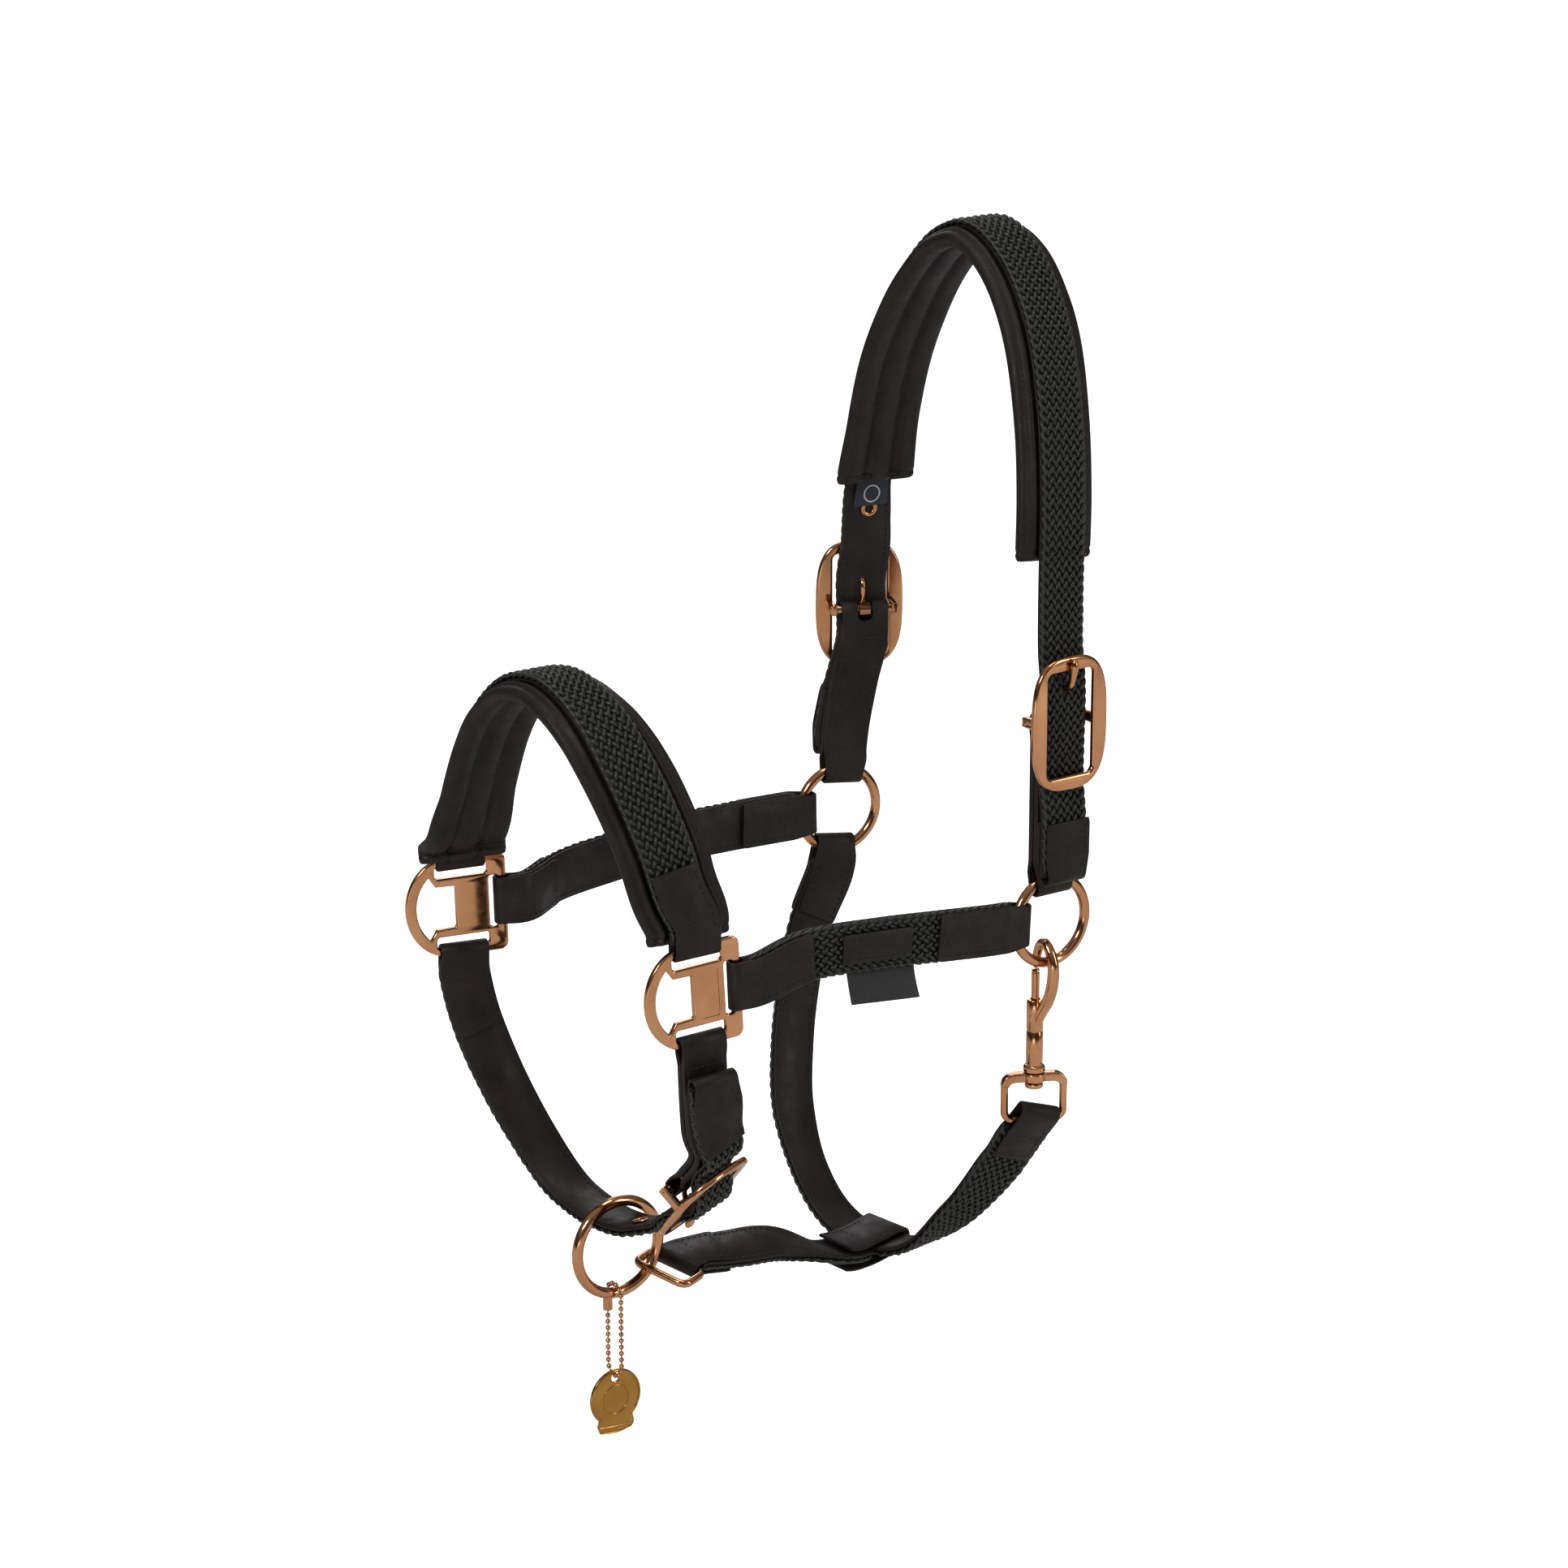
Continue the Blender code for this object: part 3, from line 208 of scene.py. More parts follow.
# ---------------------------------------------------------------- meshes

def new_mesh(name, shell):
    """A mesh from a shell, with its faces turned outwards."""
    verts, faces = shell
    mesh = bpy.data.meshes.new(name)
    mesh.from_pydata((np.asarray(verts, dtype=float) * MM).tolist(), [], faces)
    work = bmesh.new()
    work.from_mesh(mesh)
    bmesh.ops.recalc_face_normals(work, faces=work.faces)
    work.to_mesh(mesh)
    work.free()
    return mesh


def smooth_by_angle(mesh, degrees):
    mesh.shade_smooth()
    mesh.set_sharp_from_angle(angle=math.radians(degrees))


def add_mesh(name, shell, material, body="strapwork", sharp=50, part=None):
    """A piece that rides on a body; edges past the sharp angle stay crisp. It may stand for a CAD part."""
    mesh = new_mesh(name, shell)
    smooth_by_angle(mesh, sharp)
    mesh.materials.append(material)
    piece = bpy.data.objects.new(name, mesh)
    bpy.context.scene.collection.objects.link(piece)
    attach(piece, body)
    if part:
        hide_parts(part)
    return piece


def tubes(rings, closed=False):
    """One skin over rings, an array (ring, point, 3)."""
    rings = np.asarray(rings, dtype=float)
    count, sides = rings.shape[:2]
    faces = []
    for i in range(count if closed else count - 1):
        a, b = i * sides, ((i + 1) % count) * sides
        faces += [(a + j, a + (j + 1) % sides, b + (j + 1) % sides, b + j) for j in range(sides)]
    if not closed:
        faces += [tuple(range(sides)), tuple(range((count - 1) * sides, count * sides))]
    return rings.reshape(-1, 3), faces


def gather(shells):
    """Several shells as one."""
    verts, faces, base = [], [], 0
    for points, shell_faces in shells:
        verts.append(np.asarray(points, dtype=float).reshape(-1, 3))
        faces += [tuple(i + base for i in face) for face in shell_faces]
        base += len(verts[-1])
    return np.concatenate(verts), faces


def unit(vector):
    vector = np.asarray(vector, dtype=float)
    return vector / np.linalg.norm(vector, axis=-1, keepdims=True)


def smooth_path(points, steps=6):
    """A Catmull-Rom curve through points."""
    points = np.asarray(points, float)
    ends = np.vstack([points[0] * 2 - points[1], points, points[-1] * 2 - points[-2]])
    spots = []
    for i in range(len(points) - 1):
        a, b, c, d = ends[i:i + 4]
        for f in np.arange(steps) / steps:
            bend = (2 * a - 5 * b + 4 * c - d) * f * f + (3 * b - a - 3 * c + d) * f ** 3
            spots.append(0.5 * (2 * b + (c - a) * f + bend))
    return np.array(spots + [points[-1]])


class Place:
    """A point and three unit directions."""

    def __init__(self, origin, x, y, z):
        self.origin = np.asarray(origin, dtype=float)
        self.x, self.y, self.z = unit(x), unit(y), unit(z)

    def at(self, x, y, z=0.0):
        x, y, z = (np.asarray(value, float)[..., None] for value in (x, y, z))
        return self.origin + x * self.x + y * self.y + z * self.z

    def moved(self, x, y, z):
        return Place(self.at(x, y, z), self.x, self.y, self.z)


class Route:
    """A strap's centre line through chosen points, smooth in place and in side."""

    STEPS = 12
    GRID_STEP = 0.5
    BEYOND = 30.0
    TANGENT_REACH = 1.6

    def __init__(self, points, sides):
        sides = unit(sides)
        spots = smooth_path(points, self.STEPS)
        f = np.arange(self.STEPS)[:, None] / self.STEPS
        blend = f * f * (3 - 2 * f)
        widths = (sides[:-1, None] * (1 - blend) + sides[1:, None] * blend).reshape(-1, 3)
        widths = np.vstack([widths, sides[-1:]])
        marks = np.concatenate([[0.0], np.cumsum(np.linalg.norm(np.diff(spots, axis=0), axis=1))])
        self.length = marks[-1]
        first, last = unit(spots[1] - spots[0]), unit(spots[-1] - spots[-2])
        marks = np.concatenate([[-self.BEYOND], marks, [self.length + self.BEYOND]])
        spots = np.vstack([spots[0] - first * self.BEYOND, spots, spots[-1] + last * self.BEYOND])
        widths = np.vstack([widths[0], widths, widths[-1]])
        self.grid = np.arange(-self.BEYOND, self.length + self.BEYOND, self.GRID_STEP)
        self.spots = self.sample(self.grid, marks, spots)
        self.along = unit(self.sample(self.grid + self.TANGENT_REACH, marks, spots)
                          - self.sample(self.grid - self.TANGENT_REACH, marks, spots))
        widths = self.sample(self.grid, marks, widths)
        self.across = unit(widths - self.along * np.sum(widths * self.along, axis=1, keepdims=True))
        self.out = np.cross(self.along, self.across)

    @staticmethod
    def sample(s, marks, values):
        return np.stack([np.interp(s, marks, values[:, k]) for k in range(3)], axis=-1)

    def at(self, s, w, n):
        s, w, n = np.broadcast_arrays(*(np.asarray(value, float) for value in (s, w, n)))
        spot = self.sample(s, self.grid, self.spots)
        across, out = (unit(self.sample(s, self.grid, v)) for v in (self.across, self.out))
        return spot + w[..., None] * across + n[..., None] * out

    def place(self, s, n=0.0):
        x, y, z = (self.sample(s, self.grid, v) for v in (self.along, self.across, self.out))
        return Place(self.at(s, 0.0, n), x, y, z)


def stations(start, end, step=3.0):
    return np.linspace(start, end, max(2, int(round(abs(end - start) / step)) + 1))


# ---------------------------------------------------------------- routes

CROWN = Route([
    (94.9, -19.5, -287), (94.9, -19.5, -273), (94.9, -19.5, -255), (93, -19.5, -242), (92.7, -19.5, -226),
    (93.1, -19.5, -209), (93.1, -19.5, -194), (89.5, -18.5, -175), (87.8, -17.5, -155), (86, -16, -135),
    (82.5, -13, -104), (74.5, -8.5, -71), (60.5, -3, -38), (43, 1, -14), (22, 3.5, 3.5), (0, 4, 10.85),
    (-22, 3, 3.5), (-39, 1.5, -12), (-54, 0.5, -33), (-68, -1, -62), (-77, -2, -95), (-82, -2.5, -128),
    (-84, -2, -148), (-85.6, -1.2, -164), (-87.23, -2.6, -179.5), (-87.23, -2.6, -194.5),
    (-86.93, -2.9, -211.46), (-88.84, -6.15, -226.91), (-92.16, -7.85, -239.29), (-94.03, -10.9, -256.53),
    (-94.31, -13.04, -270.51),
], [
    *[(0, -1, 0)] * 14, (-0.05, -0.999, 0), (-0.07, -0.998, 0), (-0.05, -0.999, 0), *[(0, -1, 0)] * 4,
    (-0.119, -0.993, 0), (-0.28, -0.96, 0), (-0.411, -0.912, 0), (-0.423, -0.906, 0), (-0.423, -0.906, 0),
    (-0.418, -0.895, 0.154), (-0.409, -0.883, 0.231), (-0.358, -0.919, 0.163), (-0.258, -0.96, 0.111),
    (-0.169, -0.98, 0.101),
])
NOSE = Route([
    (77.37, -219.21, -285.83), (77.3, -219.99, -272.86), (74.5, -225.5, -259), (70, -230, -239),
    (63, -234.5, -220), (53, -239, -201), (39, -242, -184.5), (21, -243.5, -174), (0, -243.5, -170.5),
    (-21, -245, -175.5), (-39, -246.5, -189.5), (-53, -247.5, -210), (-64, -248, -236),
    (-70, -248.5, -256), (-79.67, -245.72, -266.66), (-79.56, -245.35, -279.66),
], [
    (-0.1, -0.993, -0.06), (-0.1, -0.993, -0.06), (-0.221, -0.975, 0), (-0.301, -0.954, 0),
    (-0.319, -0.948, 0), (-0.301, -0.954, 0), (-0.219, -0.976, 0), (-0.119, -0.993, 0),
    (-0.05, -0.999, 0), (0, -1, 0), (0.05, -0.999, 0), (0.08, -0.997, 0), (0.06, -0.998, 0),
    (-0.1, -0.995, 0), (-0.28, -0.96, -0.03), (-0.28, -0.96, -0.03),
])
NEAR_CHEEK = Route([
    (79.52, -197.92, -306.79), (80.82, -185.01, -306.01), (83, -160, -299.5), (86, -122, -300.5),
    (87, -88, -303.5), (86, -54.76, -307.24), (86, -36.78, -308.14),
], [
    *[(-0.006, -0.06, 0.998)] * 2, *[(0, 0, 1)] * 5,
])
FAR_CHEEK = Route([
    (-88.94, -34.24, -297.35), (-92, -51.98, -297.71), (-92.5, -82, -297), (-91.5, -116, -296.5),
    (-88, -150, -297.5), (-83.5, -186, -299.5), (-70.11, -212.95, -300.85), (-73.75, -225.42, -301.24),
], [
    *[(0, 0, 1)] * 6, *[(-0.008, -0.029, 1)] * 2,
])
CHIN = Route([
    (-79.18, -244.05, -324.64), (-79.07, -243.68, -337.63), (-75, -239.5, -361.5), (-67.5, -230.5, -391),
    (-53, -223, -416.5), (-33, -218.8, -434.6), (-11, -217.4, -440.7), (10, -217.2, -441),
    (27, -214.6, -438.8), (40.79, -209.82, -431.08), (47.23, -209.68, -424.79), (54.18, -209, -420.41),
    (62.61, -207.37, -418.89), (70.73, -206.33, -414.96), (74.23, -207.32, -406.48),
    (74.76, -208.82, -398.85), (78.5, -209.32, -392.43), (85.56, -209.19, -385.35), (84.6, -212.5, -374),
    (86.6, -215.2, -359), (87.2, -216.5, -345),
], [
    (-0.28, -0.96, -0.03), (-0.28, -0.96, -0.03), (-0.2, -0.98, 0), (-0.1, -0.995, 0), (-0.03, -1, 0),
    *[(0, -1, 0)] * 3, (0.119, -0.993, 0), *[(0.22, -0.954, -0.202)] * 9, (0.099, -0.993, -0.069),
    *[(-0.1, -0.993, -0.06)] * 2,
])
THROAT = Route([
    (-86.41, -19.6, -314.13), (-86.79, -21.82, -329.97), (-85, -35.5, -354), (-80.5, -46, -383),
    (-74, -54.5, -410), (-62, -63, -438), (-44.5, -66.5, -464), (-23.5, -65.5, -483), (-1, -60, -491),
    (22, -50.5, -488.5), (42, -36, -467), (58.5, -23.5, -438.5), (69.27, -22.56, -423.3),
    (81.58, -21.55, -407.57),
], [
    (-0.168, -0.976, 0.141), (-0.168, -0.976, 0.141), (0, -0.993, 0.119), (0, -0.981, 0.196),
    (0, -0.981, 0.196), (0.049, -0.988, 0.148), (0.241, -0.966, 0.097), (0.355, -0.935, 0),
    (0.387, -0.922, 0), (0.287, -0.957, 0.048), (-0.099, -0.988, 0.119), (-0.352, -0.935, 0.03),
    (-0.45, -0.893, -0), (-0.45, -0.893, -0),
])
JOWL = Route([
    (14.53, -185.87, -467.22), (9.26, -174.14, -469.1), (8, -148, -472), (4, -122, -477),
    (10.88, -96.09, -485.63), (3.38, -73.3, -490.87), (-4.88, -48.22, -491.12),
], [
    (0.904, 0.372, -0.211), (0.904, 0.372, -0.211), (0.918, 0.197, -0.345), (0.931, 0.1, -0.35),
    (0.943, 0.309, -0.12), (0.943, 0.309, -0.12), (0.943, 0.309, -0.12),
])
NEAR_CHAPE = Route([
    (86, -19.5, -209), (86, -19.5, -225), (86, -19.5, -243.73), (86, -19.5, -264.7), (86, -19.5, -277.7),
    (86, -19.5, -291.7),
], [(0, -1, 0)] * 6)
FAR_CHAPE = Route([
    (-80.8, -5.6, -194.5), (-80.8, -5.6, -210.5), (-82.86, -9.75, -230.32), (-85.24, -12.79, -252.93),
    (-85.46, -14.09, -265.86), (-85.7, -15.48, -279.79),
], [
    (-0.423, -0.906, 0), (-0.423, -0.906, 0), (-0.423, -0.906, 0), (-0.273, -0.96, 0.061),
    (-0.169, -0.98, 0.101), (-0.169, -0.98, 0.101),
])
CHIN_CHAPE = Route([
    (59.1, -211.3, -404.2), (68.19, -211.17, -394.91), (77.14, -211.47, -383.74),
    (75.83, -213.65, -372.27), (77.73, -215.69, -344.73), (77.65, -216.52, -330.75),
], [
    (0.22, -0.954, -0.202), (0.22, -0.954, -0.202), (0.209, -0.945, -0.253), (0.084, -0.972, -0.218),
    (-0.1, -0.993, -0.06), (-0.1, -0.993, -0.06),
])

# ---------------------------------------------------------------- strips, tabs and stitches

LINING = (-2.55, -0.75)
PLAIT_BASE = (-0.45, 0.9)
LINING_HALF = 12.2
TAB_WIDTH = 23.2
TAB_INNER, TAB_OUTER = 2.85, 4.25
SEWN_INNER, SEWN_OUTER = 0.3, TAB_OUTER - 0.85
TIP_WIDTH = TAB_WIDTH + 2.2
RING_NECK = 20.4
EDGE_ROUND = 0.5
STRIP_STEP = 2.5
MARK = 10.0
NECK_LENGTH = 9.0


def strip(route, spots, halves, closed=False):
    """A leather strip with rounded edges; each spot is (s, n) inside and (s, n) outside."""
    spots, halves = np.asarray(spots, float), np.asarray(halves, float)[:, None]
    # Ten points round the section: the share from the inside out, the step in from the edge, the edge.
    outward = np.array([0.3, 0.0, 0.0, 0.0, 0.3, 0.7, 1.0, 1.0, 1.0, 0.7])
    inset = np.array([0.0, 1.0, 0.0, 1.0, 0.0, 0.0, 1.0, 0.0, 1.0, 0.0]) * EDGE_ROUND
    hand = np.array([-1.0, -1.0, 0.0, 1.0, 1.0, 1.0, 1.0, 0.0, -1.0, -1.0])
    s = spots[:, :1] * (1 - outward) + spots[:, 2:3] * outward
    n = spots[:, 1:2] * (1 - outward) + spots[:, 3:4] * outward
    return tubes(route.at(s, hand * (halves - inset), n), closed)


def straight(route, start, end, low, high, half):
    """A plain strip between two marks and two heights."""
    marks = stations(start, end, STRIP_STEP)
    halves = np.full(len(marks), half)
    halves[[0, -1]] -= EDGE_ROUND
    return strip(route, [(s, low, s, high) for s in marks], halves)


def fold(centre, side, inner, outer, mirrored=1.0):
    """The half-round end of a folded strip, from its outer leg to its inner one."""
    count = 9
    spots = []
    for k in range(1, count + 1):
        turn = math.pi / 2 - k * math.pi / (count + 1)
        swing, lift = -side * math.cos(turn), mirrored * math.sin(turn)
        spots.append((centre + swing * inner, lift * inner, centre + swing * outer, lift * outer))
    return spots


def on_mark(centre, side, reach):
    """A tab's length, with its end on the nearest mark of its strap."""
    return abs(round((centre + side * reach) / MARK) * MARK - centre)


def hairpin(route, centre, side, reach, inner=TAB_INNER, outer=TAB_OUTER, neck=None, width=TAB_WIDTH):
    """A tab folded round a bar or wire; its legs run on from the fold towards side."""
    neck = neck or width
    legs = stations(reach, 0.0, STRIP_STEP)
    spots = [(centre + side * d, inner, centre + side * d, outer) for d in legs]
    bend = fold(centre, side, inner, outer)
    spots += bend + [(centre + side * d, -inner, centre + side * d, -outer) for d in legs[::-1]]
    away = np.concatenate([legs, np.zeros(len(bend)), legs[::-1]])
    halves = (neck + (width - neck) * np.minimum(1.0, away / NECK_LENGTH)) / 2
    halves[[0, -1]] -= EDGE_ROUND
    return strip(route, spots, halves)


STITCH_PITCH = 3.0
STITCH_HALF = 1.15
STITCH_INSET = 2.4
STITCH_SINK = 0.16
# Places along a stitch, from one end to the other, and its radius at each.
STITCH_ALONG = np.array([-1.0, -0.6, 0.0, 0.6, 1.0])
STITCH_GIRTH = np.array([0.16, 0.34, 0.38, 0.34, 0.16])
STITCH_FLAT = 0.8
stitch_shells = []


def stitch(route, start, end, n, lift=0.05):
    """A row of stitches from start to end, both (s, w), on the face at n."""
    start, end = np.array(start, float), np.array(end, float)
    span = np.linalg.norm(end - start)
    count = max(2, int(span / STITCH_PITCH))
    middles = start + (end - start) * ((np.arange(count) + 0.5) / count)[:, None]
    run = (end - start) / span
    cross = np.array([-run[1], run[0]])
    along, girth = STITCH_ALONG[:, None], STITCH_GIRTH[:, None]
    turn = np.arange(6) * math.pi / 3
    side = girth * np.cos(turn)
    rise = np.sign(n) * (lift - STITCH_SINK * along ** 2 + STITCH_FLAT * girth * np.sin(turn))
    s = middles[:, 0, None, None] + run[0] * STITCH_HALF * along + cross[0] * side
    w = middles[:, 1, None, None] + run[1] * STITCH_HALF * along + cross[1] * side
    stitch_shells.extend(tubes(row) for row in route.at(s, w, n + rise))


def stitch_tab(route, centre, side, reach, outer, half, cross):
    """Edge rows, an end row and cross rows on both faces of a tab."""
    w = half - STITCH_INSET
    near, far = centre + side * NECK_LENGTH, centre + side * (reach - 2.2)
    for n in (outer, -outer):
        for hand in (-1, 1):
            stitch(route, (near, hand * w), (far, hand * w), n)
        for s in [far] + [centre + side * c for c in cross]:
            stitch(route, (s, -w), (s, w), n)


TIP = dict(neck=TIP_WIDTH - 3, width=TIP_WIDTH)
# The strap, the fold's middle, the side its legs run to, its length, its sizes and its cross rows.
TABS = {
    "near_crown_tip": (CROWN, 3.0, 1, 27.0, TIP, (4.0,)),
    "far_crown_tip": (CROWN, CROWN.length - 3, -1, 27.0, TIP, (4.0,)),
    "chin_tip": (CHIN, CHIN.length - 3, -1, 30.0, TIP, (4.0,)),
    "near_noseband_tab": (NOSE, 0.0, 1, 38.0, {}, (13.0,)),
    "far_noseband_tab": (NOSE, NOSE.length, -1, 38.0, {}, (13.0,)),
    "near_cheek_front_tab": (NEAR_CHEEK, 0.0, 1, 41.0, {}, (14.0,)),
    "near_cheek_rear_tab": (NEAR_CHEEK, NEAR_CHEEK.length, -1, 51.0, dict(neck=RING_NECK), (13.0, 34.0)),
    "far_cheek_rear_tab": (FAR_CHEEK, 0.0, 1, 42.0, dict(inner=3.4, outer=4.8, neck=RING_NECK), (14.0,)),
    "far_cheek_front_tab": (FAR_CHEEK, FAR_CHEEK.length, -1, 41.0, {}, (14.0,)),
    "chin_far_tab": (CHIN, 0.0, 1, 35.0, {}, (13.0,)),
    "throat_far_tab": (THROAT, 0.0, 1, 40.0, dict(neck=RING_NECK), (15.0,)),
    "throat_near_tab": (THROAT, THROAT.length, -1, 36.0, dict(inner=3.1, outer=4.5, width=20.0), (15.5,)),
    "jowl_front_tab": (JOWL, 0.0, 1, 34.0, {}, (12.0,)),
    "jowl_rear_sleeve": (JOWL, JOWL.length, -1, 46.0, dict(inner=4.6, outer=6.0), (27.0,)),
}


def build_tabs():
    for name, (route, centre, side, reach, sizes, cross) in TABS.items():
        reach = on_mark(centre, side, reach)
        add_mesh(f"{name}_hide", hairpin(route, centre, side, reach, **sizes), LEATHER, part=name)
        half = sizes.get("width", TAB_WIDTH) / 2
        stitch_tab(route, centre, side, reach, sizes.get("outer", TAB_OUTER), half, cross)


def chape(route, neck, hold):
    """A closed band round a buckle's bar at its start and a ring or bar at its end."""
    end = route.length
    middle = end / 2
    # How tightly the two legs are sewn together: 0 round the bars and 1 between them.
    knots = [(0, 0), (3, 0), (11, 1), (middle / 2 + 4, 1), (middle, 1), ((end + middle) / 2 - 4, 1),
             (end - hold - 7, 1), (end - hold, 0), (end, 0)]
    s = stations(end, 0.0, 2.0)
    tight = np.interp(s, *np.array(knots).T)
    tight = tight * tight * (3 - 2 * tight)
    inner = TAB_INNER + (SEWN_INNER - TAB_INNER) * tight
    outer = TAB_OUTER + (SEWN_OUTER - TAB_OUTER) * tight
    wide = TAB_WIDTH / 2
    halves = wide - (wide - neck / 2) * np.maximum(0.0, 1.0 - np.abs(end - s) / NECK_LENGTH)
    upper = list(zip(s, inner, s, outer))
    lower = list(zip(s[::-1], -inner[::-1], s[::-1], -outer[::-1]))
    low_fold = fold(0.0, 1, TAB_INNER, TAB_OUTER)
    high_fold = fold(end, -1, TAB_INNER, TAB_OUTER, -1.0)
    halves = np.concatenate([halves, np.full(len(low_fold), wide), halves[::-1],
                             np.full(len(high_fold), halves[0])])
    return strip(route, upper + low_fold + lower + high_fold, halves, closed=True)


def build_chapes():
    for name, route, neck, hold in (("near_chape", NEAR_CHAPE, RING_NECK, 7.0),
                                    ("far_chape", FAR_CHAPE, RING_NECK, 7.0),
                                    ("chin_chape", CHIN_CHAPE, TAB_WIDTH, 3.0)):
        piece = add_mesh(f"{name}_hide", chape(route, neck, hold), LEATHER, part=name)
        tongue_slot = rounded_box(-9.0, 5.5, -3.7, 3.7, 3.0)
        cut(piece, route.place(0.0), plate([tongue_slot], -6.0, 6.0, 0.0))
        w = TAB_WIDTH / 2 - STITCH_INSET
        first, last = 14.0, route.length - hold - 8.0
        for n in (SEWN_OUTER, -SEWN_OUTER):
            for hand in (-1, 1):
                stitch(route, (first, hand * w), (last - 1.0, hand * w), n)
            for s in (first, route.length / 2, last):
                stitch(route, (s, -w), (s, w), n)


# ---------------------------------------------------------------- straps

COLUMNS = 10
COLUMN = 2.16
ROW = 4.9
FLOAT_HALF, FLOAT_SWING = 2.45, 1.22
EDGE_W, EDGE_HALF, EDGE_SWING, EDGE_LOW = 11.45, 3.7, 0.55, 0.55
CORD_HALF_WIDTH, CORD_HALF_HEIGHT = 1.05, 0.92
CORD_TOP, CORD_DIVE = 1.66, 1.30
HOLE_LENGTH, HOLE_WIDTH = 4.2, 2.5
STRAPS = {
    "crown": (CROWN, 3.2, CROWN.length - 3.2),
    "noseband": (NOSE, 3.4, NOSE.length - 3.4),
    "near_cheek": (NEAR_CHEEK, 3.4, NEAR_CHEEK.length - 7.0),
    "far_cheek": (FAR_CHEEK, 7.0, FAR_CHEEK.length - 3.4),
    "chin": (CHIN, 3.4, CHIN.length - 3.2),
    "throat": (THROAT, 7.0, THROAT.length - 12.4),
    "jowl": (JOWL, 3.4, JOWL.length - 25.9),
}
TONGUE_HOLES = {"crown": (93.7, 559.6), "chin": (225.6,)}


def plait(route, start, end, holes, rng):
    """Crossing cords in slanting columns, diving under their neighbours, and a chained edge each side."""
    along = np.array([-1.0, -0.78, -0.42, 0.0, 0.42, 0.78, 1.0])
    t = along[:, None]
    turn = np.arange(6) * math.pi / 3 + math.pi / 6
    girth = 1.0 - 0.40 * np.abs(t) ** 3
    columns = [(1.0 if k % 2 else -1.0, (k - (COLUMNS - 1) / 2) * COLUMN, FLOAT_HALF, FLOAT_SWING, 0.0)
               for k in range(COLUMNS)]
    columns += [(hand, hand * EDGE_W, EDGE_HALF, EDGE_SWING, EDGE_LOW) for hand in (-1.0, 1.0)]
    shells = []
    for k, (slant, across, half, swing, low) in enumerate(columns):
        marks = np.arange(start + half + (k % 2) * ROW / 2, end - half, ROW)
        for hole in holes:
            marks = marks[(np.abs(marks - hole) > HOLE_LENGTH) | (abs(across) > HOLE_WIDTH)]
        count = len(marks)
        size = 1.0 + rng.uniform(-0.05, 0.05, count)[:, None, None]
        marks = marks + rng.uniform(-0.16, 0.16, count)
        lift = rng.uniform(-0.10, 0.06, count)[:, None, None]
        path_w = slant * swing * (1.2 * t - 0.2 * t ** 3)
        rise = slant * swing * (1.2 - 0.6 * along ** 2)
        slope = unit(np.stack([np.full(len(along), half), rise], axis=1))
        wide = CORD_HALF_WIDTH * girth * np.cos(turn)
        s = marks[:, None, None] + half * t - slope[:, 1:2] * wide * size
        w = across + path_w + slope[:, 0:1] * wide * size
        n = CORD_TOP - (CORD_DIVE * t ** 2 + low) + CORD_HALF_HEIGHT * girth * np.sin(turn) * size + lift
        shells.extend(tubes(row) for row in route.at(s, w, n))
    return shells


def build_straps():
    rng = np.random.default_rng(11)
    for name, (route, start, end) in STRAPS.items():
        lining = straight(route, start, end, *LINING, LINING_HALF)
        add_mesh(f"{name}_lining", lining, LEATHER, part=f"{name}_strap")
        # A backing under the cords, its near-black colour painted shade for the gaps between them.
        add_mesh(f"{name}_plait_base_painted_shade", straight(route, start, end, *PLAIT_BASE, 11.5), GAP_SHADE)
        shells = plait(route, start, end, TONGUE_HOLES.get(name, ()), rng)
        add_mesh(f"{name}_cords", gather(shells), CORD, sharp=180, part=f"{name}_plait")
        w = LINING_HALF - STITCH_INSET
        for hand in (-1, 1):
            stitch(route, (start + 4, hand * w), (end - 4, hand * w), LINING[0])


# ---------------------------------------------------------------- pads

# Half of the section, from the middle of the strap's side round to the middle of the horse's side.
PAD_SECTION = [
    (0.0, -3.1), (4.0, -3.1), (8.0, -3.1), (12.0, -3.1), (13.0, -2.8), (13.7, -2.0), (14.8, -1.5),
    (16.0, -2.0), (16.8, -3.2), (17.6, -3.4), (19.0, -3.4), (20.5, -4.2), (21.4, -5.6), (21.5, -7.2),
    (20.9, -8.9), (19.4, -10.2), (17.2, -10.9), (14.4, -11.1), (11.6, -10.8), (9.6, -10.0), (8.3, -9.0),
    (7.5, -8.3), (6.7, -9.0), (5.6, -9.9), (3.8, -10.7), (2.0, -11.0), (0.0, -11.1),
]
PAD_CHANNEL = 7.5
PAD_MIDDLE = -7.0
TAB_DENT = 1.9
END_ROLL = 3.0
SEAM_FROM_END, SEAM_PINCH = 4.4, 0.80
PUCKER = 0.22
CROWN_PAD = (153.8, 508.2)


def pad_marks(start, end):
    """Marks along a pad, close together where its ends are rolled and sewn."""
    near = np.array([0.0, 0.35, 0.9, 1.6, 2.4, 3.2, 3.8, 4.4, 5.0, 5.6, 6.4, 7.6])
    return np.concatenate([start + near, stations(start + 9.0, end - 9.0, 2.0), end - near[::-1]])


